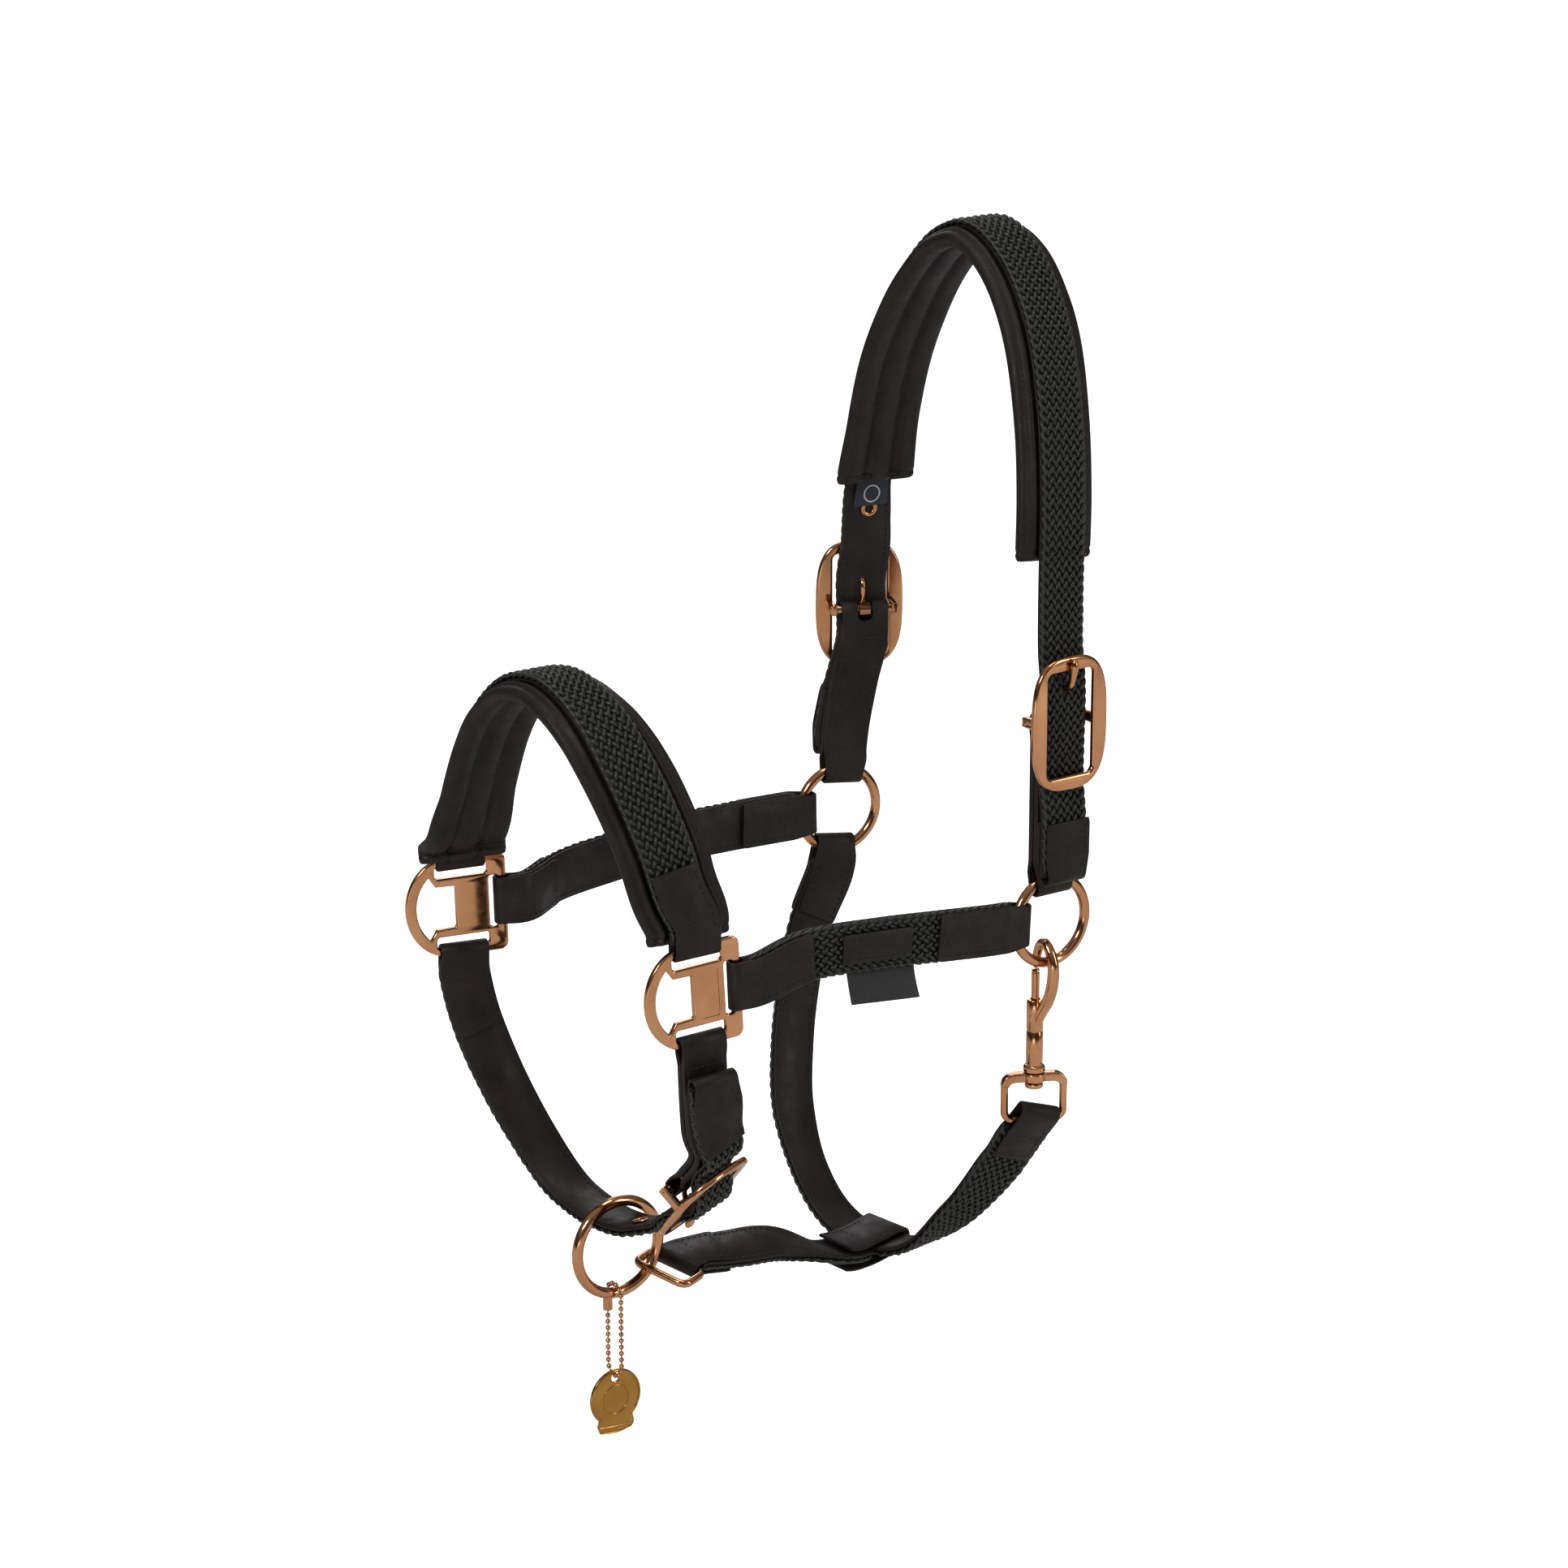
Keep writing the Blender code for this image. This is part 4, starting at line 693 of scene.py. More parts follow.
def pad_surface(route, start, end, tab_reach):
    """The pad's skin: rolled edges beside the strap, two sewn channels and a seam near each end."""
    section = PAD_SECTION + [(-w, n) for w, n in PAD_SECTION[-2:0:-1]]
    w0, n0 = np.array(section).T
    marks = pad_marks(start, end)
    from_end = np.minimum(marks - start, end - marks)[:, None]
    under_tab = 1.0 / (1.0 + np.exp((from_end - tab_reach) / 1.2)) if tab_reach else 0.0 * from_end
    n = n0 - TAB_DENT * under_tab * (np.abs(w0) < 12.5) * (n0 > -3.2)
    full = np.sqrt(np.clip(1.0 - (1.0 - np.clip(from_end / END_ROLL, 0, 1)) ** 2, 0.06, 1.0))
    pinch = SEAM_PINCH * np.exp(-((from_end - SEAM_FROM_END) / 0.8) ** 2)
    pull = np.exp(-((np.abs(w0) - PAD_CHANNEL) / 2.4) ** 2) * (n0 < PAD_MIDDLE)
    pucker = PUCKER * np.sin(marks[:, None] * 2 * math.pi / 5.6 + 2.0 * np.sign(w0)) * pull
    sway = PUCKER * np.sin(marks[:, None] / 17.0 + w0 / 9.0) * (n0 < -4.0)
    n = PAD_MIDDLE + (n - PAD_MIDDLE) * full
    n = n - np.sign(n - PAD_MIDDLE) * pinch * (np.abs(n - PAD_MIDDLE) > 1.2) + (pucker + sway) * full
    w = w0 * (0.94 + 0.06 * full)
    return route.at(marks[:, None], w, n), marks, section


SWELL = 1.6
SWELL_FRAMES = 20


def inflate(piece, pinned):
    """Swell the skin as cloth under pressure, held along its seams; no point moves more than SWELL."""
    group = piece.vertex_groups.new(name="seams")
    group.add([int(i) for i in pinned], 1.0, "REPLACE")
    before = np.array([v.co[:] for v in piece.data.vertices])
    cloth = piece.modifiers.new("swell", "CLOTH")
    cloth.settings.vertex_group_mass = "seams"
    cloth.settings.use_pressure = True
    cloth.settings.uniform_pressure_force = 4.0
    cloth.settings.effector_weights.gravity = 0.0
    cloth.settings.tension_stiffness = 25.0
    cloth.settings.compression_stiffness = 25.0
    cloth.settings.bending_stiffness = 0.6
    cloth.settings.quality = 6
    cloth.collision_settings.use_collision = False
    scene = bpy.context.scene
    for step in range(1, SWELL_FRAMES + 1):
        scene.frame_set(step)
    graph = bpy.context.evaluated_depsgraph_get()
    swollen = piece.evaluated_get(graph).to_mesh()
    after = np.array([v.co[:] for v in swollen.vertices])
    piece.evaluated_get(graph).to_mesh_clear()
    piece.modifiers.remove(cloth)
    scene.frame_set(1)
    move = after - before
    size = np.linalg.norm(move, axis=1, keepdims=True)
    move *= np.minimum(1.0, SWELL * MM / np.maximum(size, 1e-9))
    piece.data.vertices.foreach_set("co", (before + move).ravel())
    piece.data.update()


def build_pad(name, route, start, end, tab_reach, fill):
    spots, marks, section = pad_surface(route, start, end, tab_reach)
    piece = add_mesh(f"{name}_cushion", tubes(spots), SOFT_LEATHER, sharp=75, part=name)
    side = len(section)
    rings = np.arange(len(marks))[:, None] * side
    from_end = np.minimum(marks - start, end - marks)
    free = np.array([n < -4.3 and abs(abs(w) - PAD_CHANNEL) > 1.4 for w, n in section])
    held = ~(free[None, :] & (from_end > 5.5)[:, None])
    inflate(piece, (rings + np.arange(side))[held])
    grow = piece.modifiers.new("round", "SUBSURF")
    grow.levels = grow.render_levels = 1
    for hand in (-1, 1):
        stitch(route, (start + 6, hand * PAD_CHANNEL), (end - 6, hand * PAD_CHANNEL), -8.35)
        stitch(route, (start + 6, hand * 17.1), (end - 6, hand * 17.1), -3.35, lift=-0.05)
    for s in (start + SEAM_FROM_END, end - SEAM_FROM_END):
        stitch(route, (s, -17.0), (s, 17.0), -10.35)
        if not tab_reach:
            stitch(route, (s, -11.0), (s, 11.0), 2.35)


# ---------------------------------------------------------------- labels and eyelets

def build_badge():
    """A blank leather patch sewn on the near cheek."""
    middle, reach, half, low, high = 75.0, 19.0, 7.2, 2.85, 4.05
    badge = straight(NEAR_CHEEK, middle - reach, middle + reach, low, high, half)
    add_mesh("cheek_badge_patch", badge, LEATHER, part="cheek_badge")
    start, end, w = middle - reach + 1.8, middle + reach - 1.8, half - 1.7
    for hand in (-1, 1):
        stitch(NEAR_CHEEK, (start, hand * w), (end, hand * w), high)
    for s in (start, end):
        stitch(NEAR_CHEEK, (s, -w), (s, w), high)


def build_flag_label():
    """A blank tape that hangs from the near cheek's lower edge."""
    middle, reach, top, drop, half_thick = 80.0, 19.0, -11.4, -26.3, 0.35
    marks = stations(middle - reach, middle + reach, 1.5)
    s, w = np.meshgrid(marks, np.linspace(top, drop, 12), indexing="ij")
    hang = (top - w) / (top - drop)
    bow = 0.8 * hang ** 2 * np.sin((s - middle) / 11.0 + 0.6) + 6.5 * hang ** 1.3
    front = NEAR_CHEEK.at(s, w, -0.6 + bow + half_thick)
    back = NEAR_CHEEK.at(s, w, -0.6 + bow - half_thick)
    shell = tubes(np.concatenate([front, back[:, ::-1]], axis=1))
    tape = add_mesh("flag_label_tape", shell, DARK_TAPE, sharp=40, part="flag_label")


def build_size_label():
    """A tape with a plain ring, sewn inside the crown beyond its pad."""
    middle, n, half_thick = CROWN_PAD[1] + 7.3, -4.75, 0.25
    shell = straight(CROWN, middle - 6.2, middle + 6.2, n - half_thick, n + half_thick, 9.0)
    tape = add_mesh("size_label_tape", shell, NAVY, part="size_label")
    ring = ring_tube(CROWN.place(middle, n - 0.32), 4.2, 0.36, 0.10, 40, 6)
    add_mesh("size_label_ring", ring, PALE_THREAD)


def build_eyelets():
    for name, route, s in (("near_crown", CROWN, 132.7), ("far_crown", CROWN, CROWN_PAD[1] + 15.5),
                           ("chin", CHIN, 187.7)):
        here = route.place(s, LINING[0] - 1.0)
        ring = ring_tube(here, 3.25, 0.95, 0.42, 36, 10)
        add_mesh(f"{name}_eyelet_ring", ring, ROSE, part=f"{name}_eyelet")
        # A near-black disc in the eyelet's opening: painted shade standing for the hole.
        add_mesh(f"{name}_eyelet_hole_shade", turned(here, [(2.5, 0.8), (2.5, 0.2)], 24), GAP_SHADE)


# ---------------------------------------------------------------- metal

RAIL_WIDTH = 7.0

def arc(cx, cy, rx, ry, start, end, count):
    """Points of an ellipse's arc between two angles in degrees."""
    turns = np.radians(np.linspace(start, end, count))
    return [(cx + rx * math.cos(t), cy + ry * math.sin(t)) for t in turns]


def rounded_box(x0, x1, y0, y1, r, count=8):
    corners = ((x1 - r, y1 - r), (x0 + r, y1 - r), (x0 + r, y0 + r), (x1 - r, y0 + r))
    arcs = [arc(x, y, r, r, 90 * k, 90 * k + 90, count) for k, (x, y) in enumerate(corners)]
    return sum(arcs, [])


def circle(x, y, r, count=32):
    return arc(x, y, r, r, 0, 360 - 360 / count, count)


def oval(half_x, half_y, power, count):
    """A superellipse: an oval at power 2, and squarer above."""
    spots = []
    for k in range(count):
        turn = 2 * math.pi * (k + 0.5) / count
        c, s = math.cos(turn), math.sin(turn)
        spots.append((math.copysign(half_x * abs(c) ** (2 / power), c),
                      math.copysign(half_y * abs(s) ** (2 / power), s)))
    return spots


def plate(outlines, low, high, bevel, steps=3):
    """A flat plate with rounded edges; the first outline is its edge and the others are holes."""
    curve = bpy.data.curves.new("outline", "CURVE")
    curve.dimensions = "2D"
    curve.fill_mode = "BOTH"
    curve.extrude = (high - low) / 2 - bevel
    curve.bevel_depth = bevel
    curve.bevel_resolution = steps
    curve.offset = -bevel
    for i, outline in enumerate(outlines):
        outline = outline if i == 0 else outline[::-1]
        spline = curve.splines.new("POLY")
        spline.points.add(len(outline) - 1)
        for point, (x, y) in zip(spline.points, outline):
            point.co = (x, y, 0, 1)
        spline.use_cyclic_u = True
    holder = bpy.data.objects.new("outline", curve)
    mesh = bpy.data.meshes.new_from_object(holder)
    work = bmesh.new()
    work.from_mesh(mesh)
    bmesh.ops.remove_doubles(work, verts=work.verts, dist=1e-4)
    bmesh.ops.dissolve_degenerate(work, edges=work.edges, dist=1e-5)
    work.verts.index_update()
    verts = np.array([v.co[:] for v in work.verts]) + (0, 0, (low + high) / 2)
    faces = [tuple(v.index for v in f.verts) for f in work.faces]
    work.free()
    bpy.data.objects.remove(holder)
    bpy.data.curves.remove(curve)
    bpy.data.meshes.remove(mesh)
    return verts, faces


def placed(place, shell):
    verts, faces = shell
    return place.at(*np.asarray(verts, float).T), faces


def cut(piece, place, shell):
    """Subtract a shell, given at a place, from a piece."""
    cutter = bpy.data.objects.new("cutter", new_mesh("cutter", placed(place, shell)))
    bpy.context.scene.collection.objects.link(cutter)
    step = piece.modifiers.new("cut", "BOOLEAN")
    step.operation, step.solver, step.object = "DIFFERENCE", "EXACT", cutter
    graph = bpy.context.evaluated_depsgraph_get()
    result = bpy.data.meshes.new_from_object(piece.evaluated_get(graph))
    piece.modifiers.remove(step)
    piece.data = result
    bpy.data.objects.remove(cutter)
    smooth_by_angle(result, 40)


def tube(path, radius, sides=16, closed=False):
    """A round bar along a path, with rounded ends."""
    path = np.asarray(path, float)
    radii = np.broadcast_to(np.asarray(radius, float), len(path)).copy()
    along = unit(np.roll(path, -1, 0) - np.roll(path, 1, 0)) if closed else unit(np.gradient(path, axis=0))
    if not closed:
        shrink = np.array([0.08, 0.38, 0.70, 0.92])
        push = np.sqrt(1 - shrink ** 2)
        path = np.vstack([path[0] - along[0] * (push * radii[0])[:, None], path,
                          path[-1] + along[-1] * (push[::-1] * radii[-1])[:, None]])
        radii = np.concatenate([shrink * radii[0], radii, shrink[::-1] * radii[-1]])
        along = np.vstack([np.repeat(along[:1], 4, 0), along, np.repeat(along[-1:], 4, 0)])
    turn = np.arange(sides)[:, None] * 2 * math.pi / sides
    across = np.array([0.0, 0.0, 1.0]) if abs(along[0][2]) < 0.9 else np.array([1.0, 0.0, 0.0])
    rings = []
    for spot, run, r in zip(path, along, radii):
        across = unit(across - run * across.dot(run))
        rings.append(spot + r * (np.cos(turn) * across + np.sin(turn) * np.cross(run, across)))
    return tubes(rings, closed)


def ring_tube(place, radius, wide, high, segments=96, sides=20):
    """A ring round a place's z, with a section wide across and high along z."""
    swing = np.arange(segments)[:, None] * 2 * math.pi / segments
    turn = np.arange(sides) * 2 * math.pi / sides
    r = radius + wide * np.cos(turn)
    return tubes(place.at(r * np.cos(swing), r * np.sin(swing), high * np.sin(turn)), closed=True)


def turned(place, profile, sides=32):
    """A turned part round a place's z, from rows (radius, z); the first and last rows are its ends."""
    turn = np.arange(sides) * 2 * math.pi / sides
    return tubes([place.at(r * np.cos(turn), r * np.sin(turn), z) for r, z in profile])


def place_on(origin, axis):
    """A place whose z is the axis."""
    axis = unit(axis)
    seed = np.array([0.0, 0.0, 1.0]) if abs(axis[2]) < 0.9 else np.array([0.0, 1.0, 0.0])
    x = unit(seed - axis * axis.dot(seed))
    return Place(origin, x, np.cross(axis, x), axis)


RINGS = {
    "near_ring": ((86.0, -19.5, -309.0), (1, 0, 0), 21.0, 2.5),
    "far_ring": ((-86.0, -17.2, -297.0), (0.9854, -0.1701, 0.0), 21.0, 2.5),
    "lead_ring": ((10.0, -217.5, -453.6), (1, 0, 0), 23.0, 2.7),
}
FITTINGS = {
    "near": Place((78.0, -213.0, -308.0), (0.1, 0.993, 0.06), (-0.006, -0.06, 0.998), (0.995, -0.1, 0.0)),
    "far": Place((-78.0, -240.0, -302.0), (0.28, 0.96, 0.03), (-0.0084, -0.0288, 0.99955),
                 (-0.96, 0.28, 0.0)),
}
# The middle of a fitting's strap slots, its side bar's middle, its strap bars' middle, half a bar.
STRAP_U, BAR_U, BAR_V, BAR_HALF = -4.9, 15.2, 22.5, 2.0
# Where a buckle's bar is, half its length, and how far its tongue's hole is from the bar.
BUCKLES = {
    "near": (Place((86.0, -19.5, -209.0), (0, 0, 1), (0, -1, 0), (1, 0, 0)), 32.5, 15.5),
    "far": (Place((-80.8, -5.6, -194.5), (0, 0, 1), (0.423, 0.906, 0), (-0.906, 0.423, 0)), 32.5, 15.5),
    "chin": (Place((59.1, -211.3, -404.2), (-0.7, -0.01, -0.715), (-0.2197, 0.9544, 0.2018),
                   (0.68, 0.299, -0.67)), 26.0, 12.6),
}
LOOP_LONG = unit((0.90, 0.37, -0.21))
LOOP_SHORT = np.array((-0.3703, 0.9277, 0.0476))
LOOP_AT_RING = np.array((10.0, -197.996, -465.79))


def build_rings():
    for name, (centre, axis, radius, wire) in RINGS.items():
        ring = ring_tube(place_on(centre, axis), radius, wire, wire)
        add_mesh(f"{name}_wire", ring, ROSE, name, 180, name)


def build_fittings():
    """Flat castings with a D-shaped opening, two strap slots, a cheek slot and a sunk middle."""
    outline = arc(-12.0, 0.0, 20.5, 24.5, 90, 270, 48)
    outline += arc(13.2, -20.5, 4.0, 4.0, 270, 360, 8) + arc(13.2, 20.5, 4.0, 4.0, 0, 90, 8)
    bow = arc(-12.0, 0.0, 15.2, 19.0, 125, 235, 30)
    bow += [(-17.5, -10.6), (-8.6, -10.3), (-8.0, -9.7), (-8.0, 9.7), (-8.6, 10.3), (-17.5, 10.6)]
    slot_half, slot_start, slot_end, corner = 12.9, 14.6, BAR_V - BAR_HALF, 1.6
    strap_slots = [rounded_box(STRAP_U - slot_half, STRAP_U + slot_half, slot_start, slot_end, corner),
                   rounded_box(STRAP_U - slot_half, STRAP_U + slot_half, -slot_end, -slot_start, corner)]
    cheek_slot = rounded_box(8.6, BAR_U - BAR_HALF, -12.6, 13.2, corner)
    sunk = plate([rounded_box(-4.4, 5.4, -11.6, 11.6, 1.2)], 1.15, 3.0, 0.0)
    for side, place in FITTINGS.items():
        casting = placed(place, plate([outline, bow, *strap_slots, cheek_slot], -1.5, 1.5, 0.75))
        piece = add_mesh(f"{side}_side_plate", casting, ROSE, sharp=40, part=f"{side}_side_fitting")
        cut(piece, place, sunk)


def buckle_frame(place, half_length):
    """A broad oval frame, held above its strap by two short posts on a round bar."""
    frame_low, frame_high, half_width, window_half = 10.0, 13.2, 22.0, 13.6
    window_reach = half_length - RAIL_WIDTH
    outline = oval(half_length, half_width, 3.0, 96)
    window = rounded_box(-window_reach, window_reach, -window_half, window_half, 3.0)
    shells = [placed(place, plate([outline, window], frame_low, frame_high, 1.25, 4))]
    for hand in (-1, 1):
        low, high = sorted((hand * window_half, hand * (window_half + 3.4)))
        post = rounded_box(-2.6, 2.6, low, high, 1.2, 4)
        shells.append(placed(place, plate([post], -2.6, frame_low + 1.2, 0.5)))
    reach = window_half + 1.6
    shells.append(tube([place.at(0, -reach), place.at(0, reach)], 2.2, 24))
    return gather(shells)


def buckle_tongue(place, half_length, hole):
    """A prong that leaves its collar on the bar, rises through the hole and rests on the frame."""
    rail = half_length - RAIL_WIDTH / 2
    path = smooth_path([(2.4, 2.9), (hole - 4.6, 2.95), (hole - 1.4, 5.2), (hole + 1.2, 9.4),
                        (hole + 3.4, 12.9), (rail - 4.0, 14.7), (rail, 15.1), (rail + 2.4, 14.6)])
    radii = np.interp(np.linspace(0, 1, len(path)), [0, 0.2, 0.62, 0.8, 0.93, 1],
                      [1.2, 1.3, 1.4, 1.9, 1.5, 0.5])
    prong = tube(place.at(path[:, 0], 0.0, path[:, 1]), radii)
    profile = np.array([(2.6, -3.0), (2.6, 3.0), (3.6, 3.0), (4.0, 2.6), (4.0, -2.6), (3.6, -3.0)])
    turn = np.arange(28)[:, None] * 2 * math.pi / 28
    r, y = profile.T
    collar = tubes(place.at(r * np.cos(turn), y, r * np.sin(turn)), closed=True)
    return gather([prong, collar])


def build_buckles():
    for name, (place, half_length, hole) in BUCKLES.items():
        frame = buckle_frame(place, half_length)
        add_mesh(f"{name}_buckle_casting", frame, ROSE, sharp=38, part=f"{name}_buckle_frame")
        tongue = buckle_tongue(place, half_length, hole)
        add_mesh(f"{name}_buckle_prong", tongue, ROSE, f"{name}_tongue", 40, f"{name}_buckle_tongue")


def build_jowl_loop():
    place = Place(LOOP_AT_RING + LOOP_LONG * 8.9, LOOP_LONG, LOOP_SHORT, np.cross(LOOP_LONG, LOOP_SHORT))
    half = TAB_WIDTH / 2 + 2.7
    path = [place.at(x, y) for x, y in rounded_box(-half, half, -6.6, 9.5, 4.2, 9)]
    add_mesh("jowl_loop_wire", tube(path, 2.0, 20, closed=True), ROSE, "jowl_loop", 180, "jowl_loop")


# ---------------------------------------------------------------- snap

# Heights in this section are along the snap, from the middle of its swivel loop's lower bar.
SNAP = Place((78.5, -21.8, -411.5), (0.893, -0.45, 0), (0.45, 0.893, 0), (0, 0, 1))
HOOK_TURN = math.radians(26)


def build_swivel():
    """A squared loop with a filled crown and a boss that the snap turns in."""
    half = 14.4
    loop = Place(SNAP.origin, SNAP.y, SNAP.z, SNAP.x)
    path = [loop.at(x, y) for x, y in rounded_box(-half, half, 0.0, 21.6, 4.5, 9)]
    crown = arc(half - 5.0, 17.6, 6.9, 6.3, 0, 90, 9) + arc(5.0 - half, 17.6, 6.9, 6.3, 90, 180, 9)
    crown += [(-12.6, 17.0), (-11.6, 18.6), (-9.6, 19.3), (9.6, 19.3), (11.6, 18.6), (12.6, 17.0)]
    bar = placed(loop, plate([crown], -2.5, 2.5, 0.9))
    boss = placed(SNAP.moved(0, 0, 21.6), plate([circle(0, 0, 5.4, 40), circle(0, 0, 2.9)], -2.2, 2.2, 0.7))
    shell = gather([tube(path, 1.9, 20, closed=True), bar, boss])
    add_mesh("snap_swivel_loop", shell, ROSE, sharp=40, part="snap_swivel")


def build_snap_body():
    """A turned barrel on a swivel stem, with the hook growing out of its side."""
    barrel = turned(SNAP, [(0.6, 16.0), (3.6, 16.05), (4.4, 16.6), (4.6, 17.6), (4.3, 18.7), (3.2, 19.1),
                           (2.5, 19.2), (2.5, 24.0), (4.6, 24.1), (5.3, 24.8), (5.3, 26.9), (4.6, 27.7),
                           (3.9, 27.9), (3.8, 28.6), (4.1, 29.2), (4.1, 44.6), (3.85, 45.0), (3.85, 45.6),
                           (4.1, 46.0), (4.1, 59.9), (3.6, 60.9), (2.45, 61.0), (2.4, 52.0), (0.3, 52.0)])
    path = smooth_path([(2.0, 50.0), (5.5, 56.0), (9.5, 62.0), (12.4, 69.0), (13.6, 76.0), (13.2, 82.5),
                        (10.6, 88.0), (6.6, 91.0), (3.0, 88.8), (1.0, 84.0), (0.3, 79.0)])
    radii = np.interp(np.linspace(0, 1, len(path)), np.linspace(0, 1, 11),
                      [2.5, 2.7, 2.9, 2.95, 2.9, 2.75, 2.5, 2.4, 2.3, 2.2, 2.0])
    out, up = path.T
    hook = tube(SNAP.at(out * math.cos(HOOK_TURN), out * math.sin(HOOK_TURN), up), radii, 20)
    add_mesh("snap_body", gather([barrel, hook]), ROSE, "snap", 40, "snap_hook")


def build_bolt_and_spring():
    bolt = turned(SNAP, [(0.3, 50.0), (1.9, 50.1), (2.0, 50.6), (2.0, 74.2), (1.6, 74.6), (1.6, 75.0),
                         (2.0, 75.4), (1.7, 76.3), (0.3, 76.6)], 24)
    stud = placed(SNAP, plate([rounded_box(-6.6, -0.6, -0.9, 0.9, 0.6, 4)], 51.0, 56.0, 0.35))
    add_mesh("snap_bolt_rod", gather([bolt, stud]), ROSE, "snap_bolt", 40, "snap_bolt")
    low, high, turns, radius, wire = 36.7, 49.3, 5, 1.55, 0.35
    swing = np.linspace(0, turns * 2 * math.pi, turns * 20 + 1)
    rise = np.linspace(low + wire, high - wire, len(swing))
    coil = SNAP.at(radius * np.cos(swing), radius * np.sin(swing), rise)
    spring = add_mesh("snap_spring_coil", tube(coil, wire, 8), STEEL, "snap", 180, "snap_spring")
    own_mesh(spring)


# ---------------------------------------------------------------- chain and medallion

CHAIN_TOP = np.array(RINGS["lead_ring"][0]) + (0, -2.4, -22.87)
CHAIN_HALF, CHAIN_DROP = 5.6, 42.5
BEAD, BEAD_PITCH, BEAD_WIRE = 1.3, 3.25, 0.42
DISC = Place(CHAIN_TOP + (0, 0, -53.5), (0, 1, 0), (0, 0, 1), (1, 0, 0))
DISC_RADIUS, DISC_HALF = 14.2, 1.0


def ball(centre, radius):
    """A bead with a small flat at each end."""
    rows = []
    for k in range(9):
        tilt = math.pi * (0.03 + 0.94 * k / 8)
        rows.append((radius * math.sin(tilt), radius * math.cos(tilt)))
    return turned(Place(centre, (1, 0, 0), (0, 1, 0), (0, 0, 1)), rows, 14)


def build_chain():
    """A closed loop of beads on a wire, joined by a clasp."""
    turns = np.linspace(0, math.pi, 17)
    top = [(CHAIN_HALF * math.cos(t), 4.5 * math.sin(t)) for t in turns]
    low = [(-CHAIN_HALF * math.cos(t), -CHAIN_DROP + 5.0 - 5.0 * math.sin(t)) for t in turns]
    path = np.array([CHAIN_TOP + (x, 0, z) for x, z in top + low])
    around = np.vstack([path, path[:1]])
    marks = np.concatenate([[0.0], np.cumsum(np.linalg.norm(np.diff(around, axis=0), axis=1))])
    count = int(marks[-1] / BEAD_PITCH)
    spots = Route.sample(np.arange(count) * marks[-1] / count, marks, around)
    shells = [ball(spot, BEAD) for spot in spots] + [tube(path, BEAD_WIRE, 8, closed=True)]
    add_mesh("bead_chain_links", gather(shells), ROSE, "chain", 180, "bead_chain")
    clasp = Place(CHAIN_TOP + (-CHAIN_HALF, 0, -7.0), (1, 0, 0), (0, -1, 0), (0, 0, 1))
    sleeve = placed(clasp, plate([circle(0, 0, 2.3), circle(0, 0, 1.75)], -3.4, 3.4, 0.12))
    add_mesh("chain_clasp_sleeve", sleeve, ROSE, "chain", 40, "chain_clasp")


def build_medallion():
    """A blank disc with a raised rim, a banner below it and a plain ring on each face."""
    outline = arc(0, 0, DISC_RADIUS, DISC_RADIUS, -48, 228, 72)
    outline += [(-10.4, -13.5), (-9.0, -17.2), (-4.5, -18.3), (0.0, -18.8), (4.5, -18.3), (9.0, -17.2),
                (10.4, -13.5)]
    body = plate([outline, circle(0, 10.2, 2.4, 28)], -DISC_HALF * 0.72, DISC_HALF * 0.72, 0.35)
    shells = [placed(DISC, body)]
    rim = arc(0, 0, DISC_RADIUS - 0.75, DISC_RADIUS - 0.75, -50, 230, 80)
    banner = [(-9.6, -13.9), (-8.5, -16.6), (-4.3, -17.6), (0, -18.0), (4.3, -17.6), (8.5, -16.6),
              (9.6, -13.9), (4.5, -14.5), (0, -14.8), (-4.5, -14.5)]
    banner = smooth_path(banner + banner[:1], 4)[:-1]
    for face in (-DISC_HALF, DISC_HALF):
        shells.append(tube([DISC.at(x, y, face * 0.62) for x, y in rim], 0.62, 10))
        shells.append(tube([DISC.at(x, y, face * 0.68) for x, y in banner], 0.34, 8, closed=True))
        shells.append(ring_tube(DISC.moved(0, -1.2, face * 0.70), 7.2, 0.42, 0.30, 64, 10))
    add_mesh("medallion_disc", gather(shells), YELLOW, "medallion", 35, "medallion")


# ---------------------------------------------------------------- camera, floor and light

TARGET = (0.0, -0.1132, -0.2461)
# A light's place, its two sizes and its power in watts.
LIGHTS = {
    "key": ((0.55, -1.75, 0.95), (0.55, 0.55), 16.5),
    "side": ((1.55, 0.95, 0.35), (0.35, 1.3), 8.0),
    "top": ((0.0, 0.0, 1.5), (1.0, 0.7), 8.0),
    "back": ((-1.5, 0.9, 0.5), (0.9, 0.9), 5.0),
    "low": ((1.1, -1.2, -0.42), (0.8, 0.2), 1.0),
}
FLOOR_REACH, FLOOR_GAP = 14.0, 0.012


def aim(item, spot):
    """Put a camera or light in the scene, turned to the target."""
    item.location = spot
    item.rotation_euler = (Vector(TARGET) - Vector(spot)).to_track_quat("-Z", "Y").to_euler()
    bpy.context.scene.collection.objects.link(item)


def build_camera():
    camera = bpy.data.objects.new("camera", bpy.data.cameras.new("camera"))
    camera.data.lens, camera.data.sensor_width = 116.27, 36.0
    aim(camera, (1.8568, -1.4622, 0.4556))
    bpy.context.scene.camera = camera
    bpy.context.scene.view_settings.view_transform = "Standard"


def build_lights():
    for name, (spot, size, power) in LIGHTS.items():
        light = bpy.data.lights.new(name, "AREA")
        light.shape = "RECTANGLE"
        light.size, light.size_y = size
        light.energy = power
        aim(bpy.data.objects.new(name, light), spot)


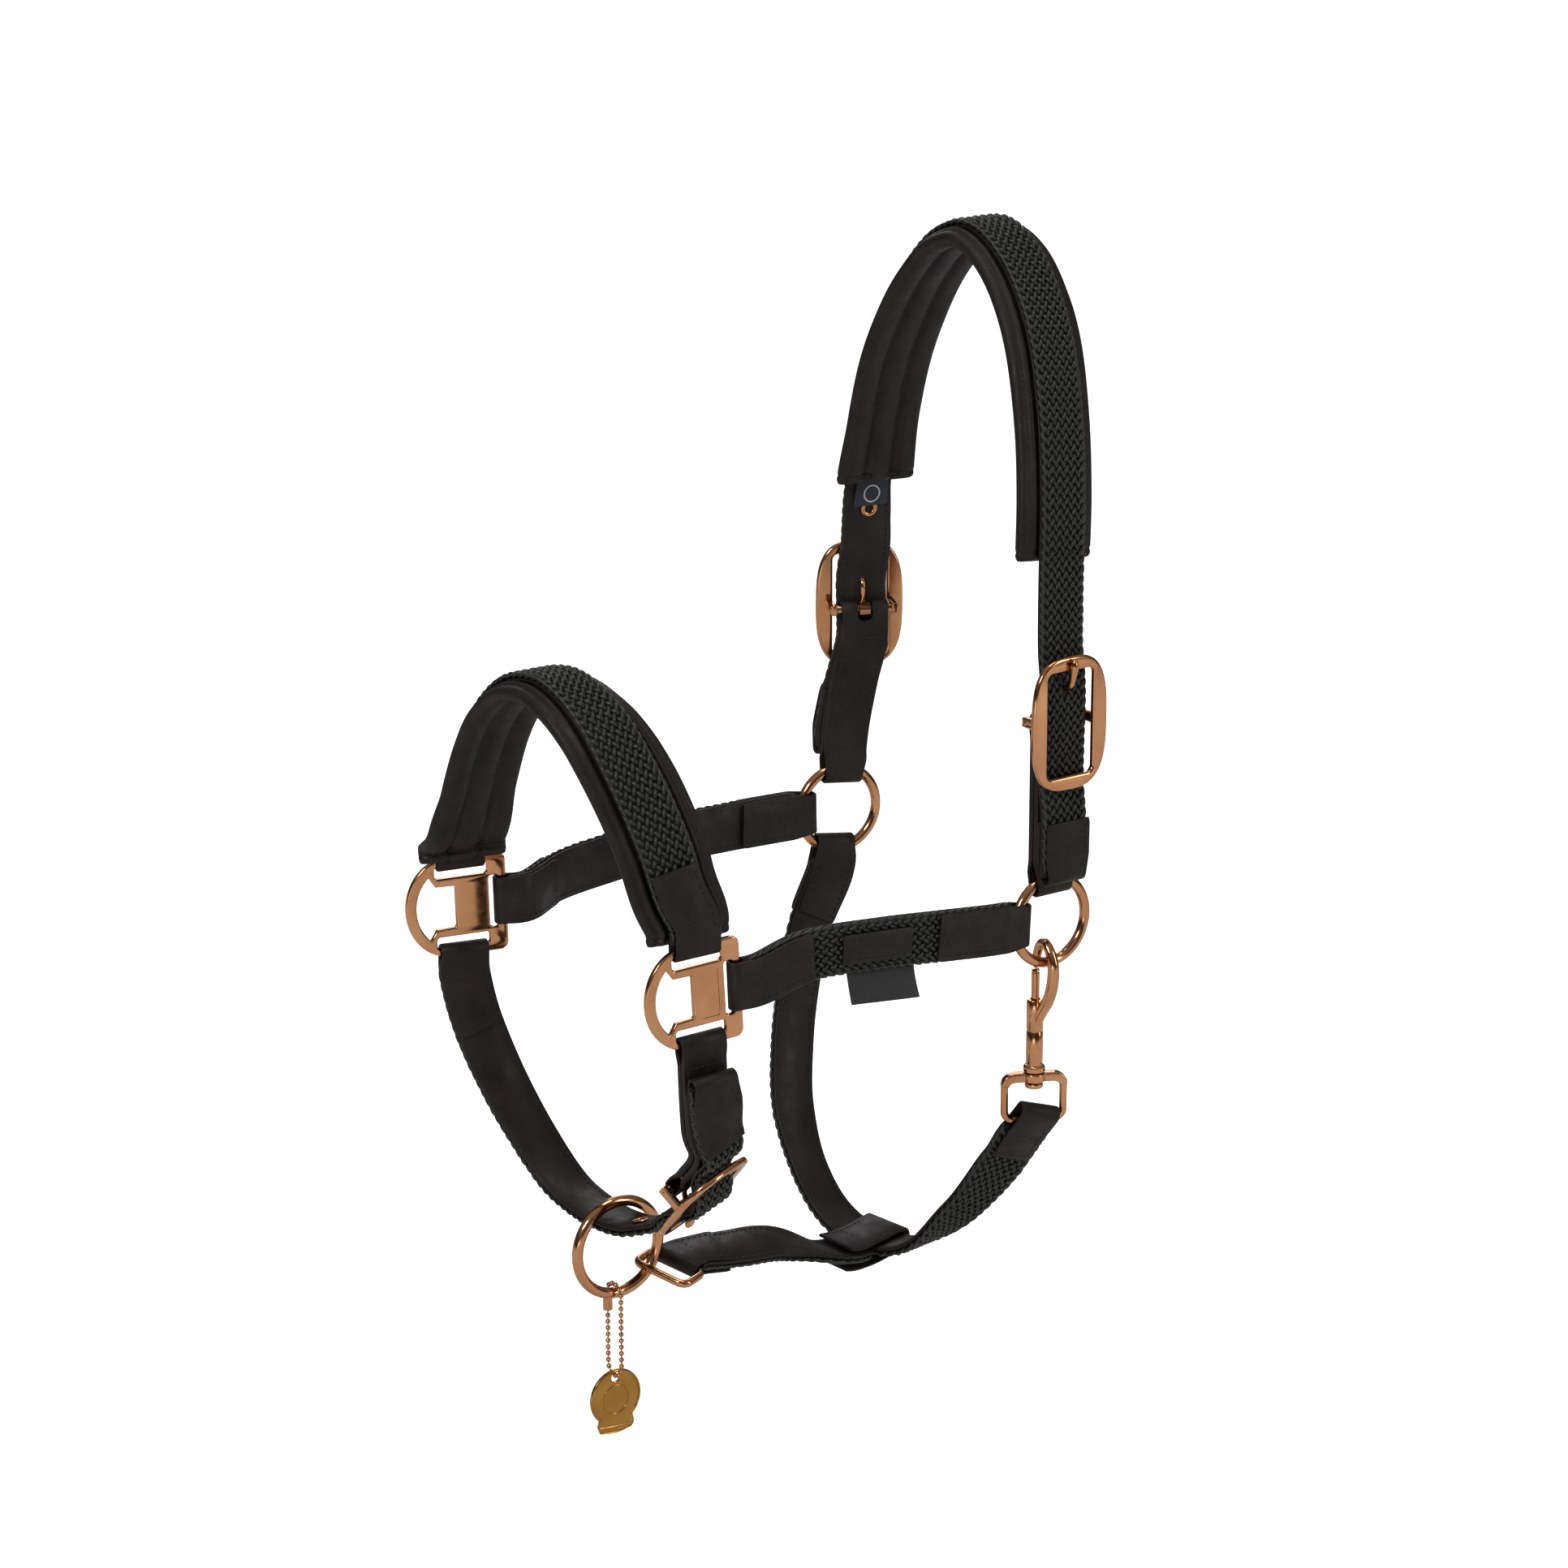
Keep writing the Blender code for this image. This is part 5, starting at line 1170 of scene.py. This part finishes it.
def build_floor():
    """A pale floor that the camera sees as white."""
    look = Look("studio_floor", roughness=0.9)
    dark, light = (0.86,) * 3, (0.90,) * 3
    look.put("Base Color", look.ramp(look.noise(1.5, 2.0), (0.3, dark), (0.7, light)))
    look.fix("Specular IOR Level", 0.1)
    look.fix("Emission Color", (1.0, 1.0, 1.0, 1.0))
    look.put("Emission Strength", look.tree.nodes.new("ShaderNodeLightPath").outputs["Is Camera Ray"])
    level = CAD_BOX[0][2] - FLOOR_GAP
    corners = ((-1, -1), (1, -1), (1, 1), (-1, 1))
    mesh = bpy.data.meshes.new("floor")
    mesh.from_pydata([(x * FLOOR_REACH, y * FLOOR_REACH, level) for x, y in corners], [], [(0, 1, 2, 3)])
    mesh.materials.append(look.material)
    floor = bpy.data.objects.new("floor", mesh)
    bpy.context.scene.collection.objects.link(floor)


def build_sky():
    """Soft grey light, darker from below; the camera sees white."""
    world = bpy.data.worlds.new("studio")
    bpy.context.scene.world = world
    world.use_nodes = True
    tree = world.node_tree
    split = tree.nodes.new("ShaderNodeSeparateXYZ")
    tree.links.new(tree.nodes.new("ShaderNodeTexCoord").outputs["Generated"], split.inputs["Vector"])
    ramp = tree.nodes.new("ShaderNodeValToRGB")
    for element, (height, grey) in zip(ramp.color_ramp.elements, ((0.02, 0.09), (0.85, 1.0))):
        element.position, element.color = height, (grey, grey, grey, 1.0)
    tree.links.new(split.outputs["Z"], ramp.inputs["Fac"])
    sky = tree.nodes["Background"]
    tree.links.new(ramp.outputs["Color"], sky.inputs["Color"])
    sky.inputs["Strength"].default_value = 0.30
    white = tree.nodes.new("ShaderNodeBackground")
    white.inputs["Color"].default_value = (1.0, 1.0, 1.0, 1.0)
    white.inputs["Strength"].default_value = 1.0
    mix = tree.nodes.new("ShaderNodeMixShader")
    tree.links.new(tree.nodes.new("ShaderNodeLightPath").outputs["Is Camera Ray"], mix.inputs["Fac"])
    tree.links.new(sky.outputs["Background"], mix.inputs[1])
    tree.links.new(white.outputs["Background"], mix.inputs[2])
    tree.links.new(mix.outputs["Shader"], tree.nodes["World Output"].inputs["Surface"])


# ---------------------------------------------------------------- the whole headcollar

build_camera()
build_lights()
build_floor()
build_sky()
build_straps()
build_tabs()
build_chapes()
build_pad("crown_pad", CROWN, *CROWN_PAD, tab_reach=None, fill=0.75)
build_pad("noseband_pad", NOSE, 2.0, NOSE.length - 2.0, tab_reach=41.0, fill=0.75)
build_badge()
build_flag_label()
build_size_label()
build_eyelets()
build_rings()
build_fittings()
build_buckles()
build_jowl_loop()
build_swivel()
build_snap_body()
build_bolt_and_spring()
build_chain()
build_medallion()
add_mesh("stitching", gather(stitch_shells), THREAD, sharp=180)
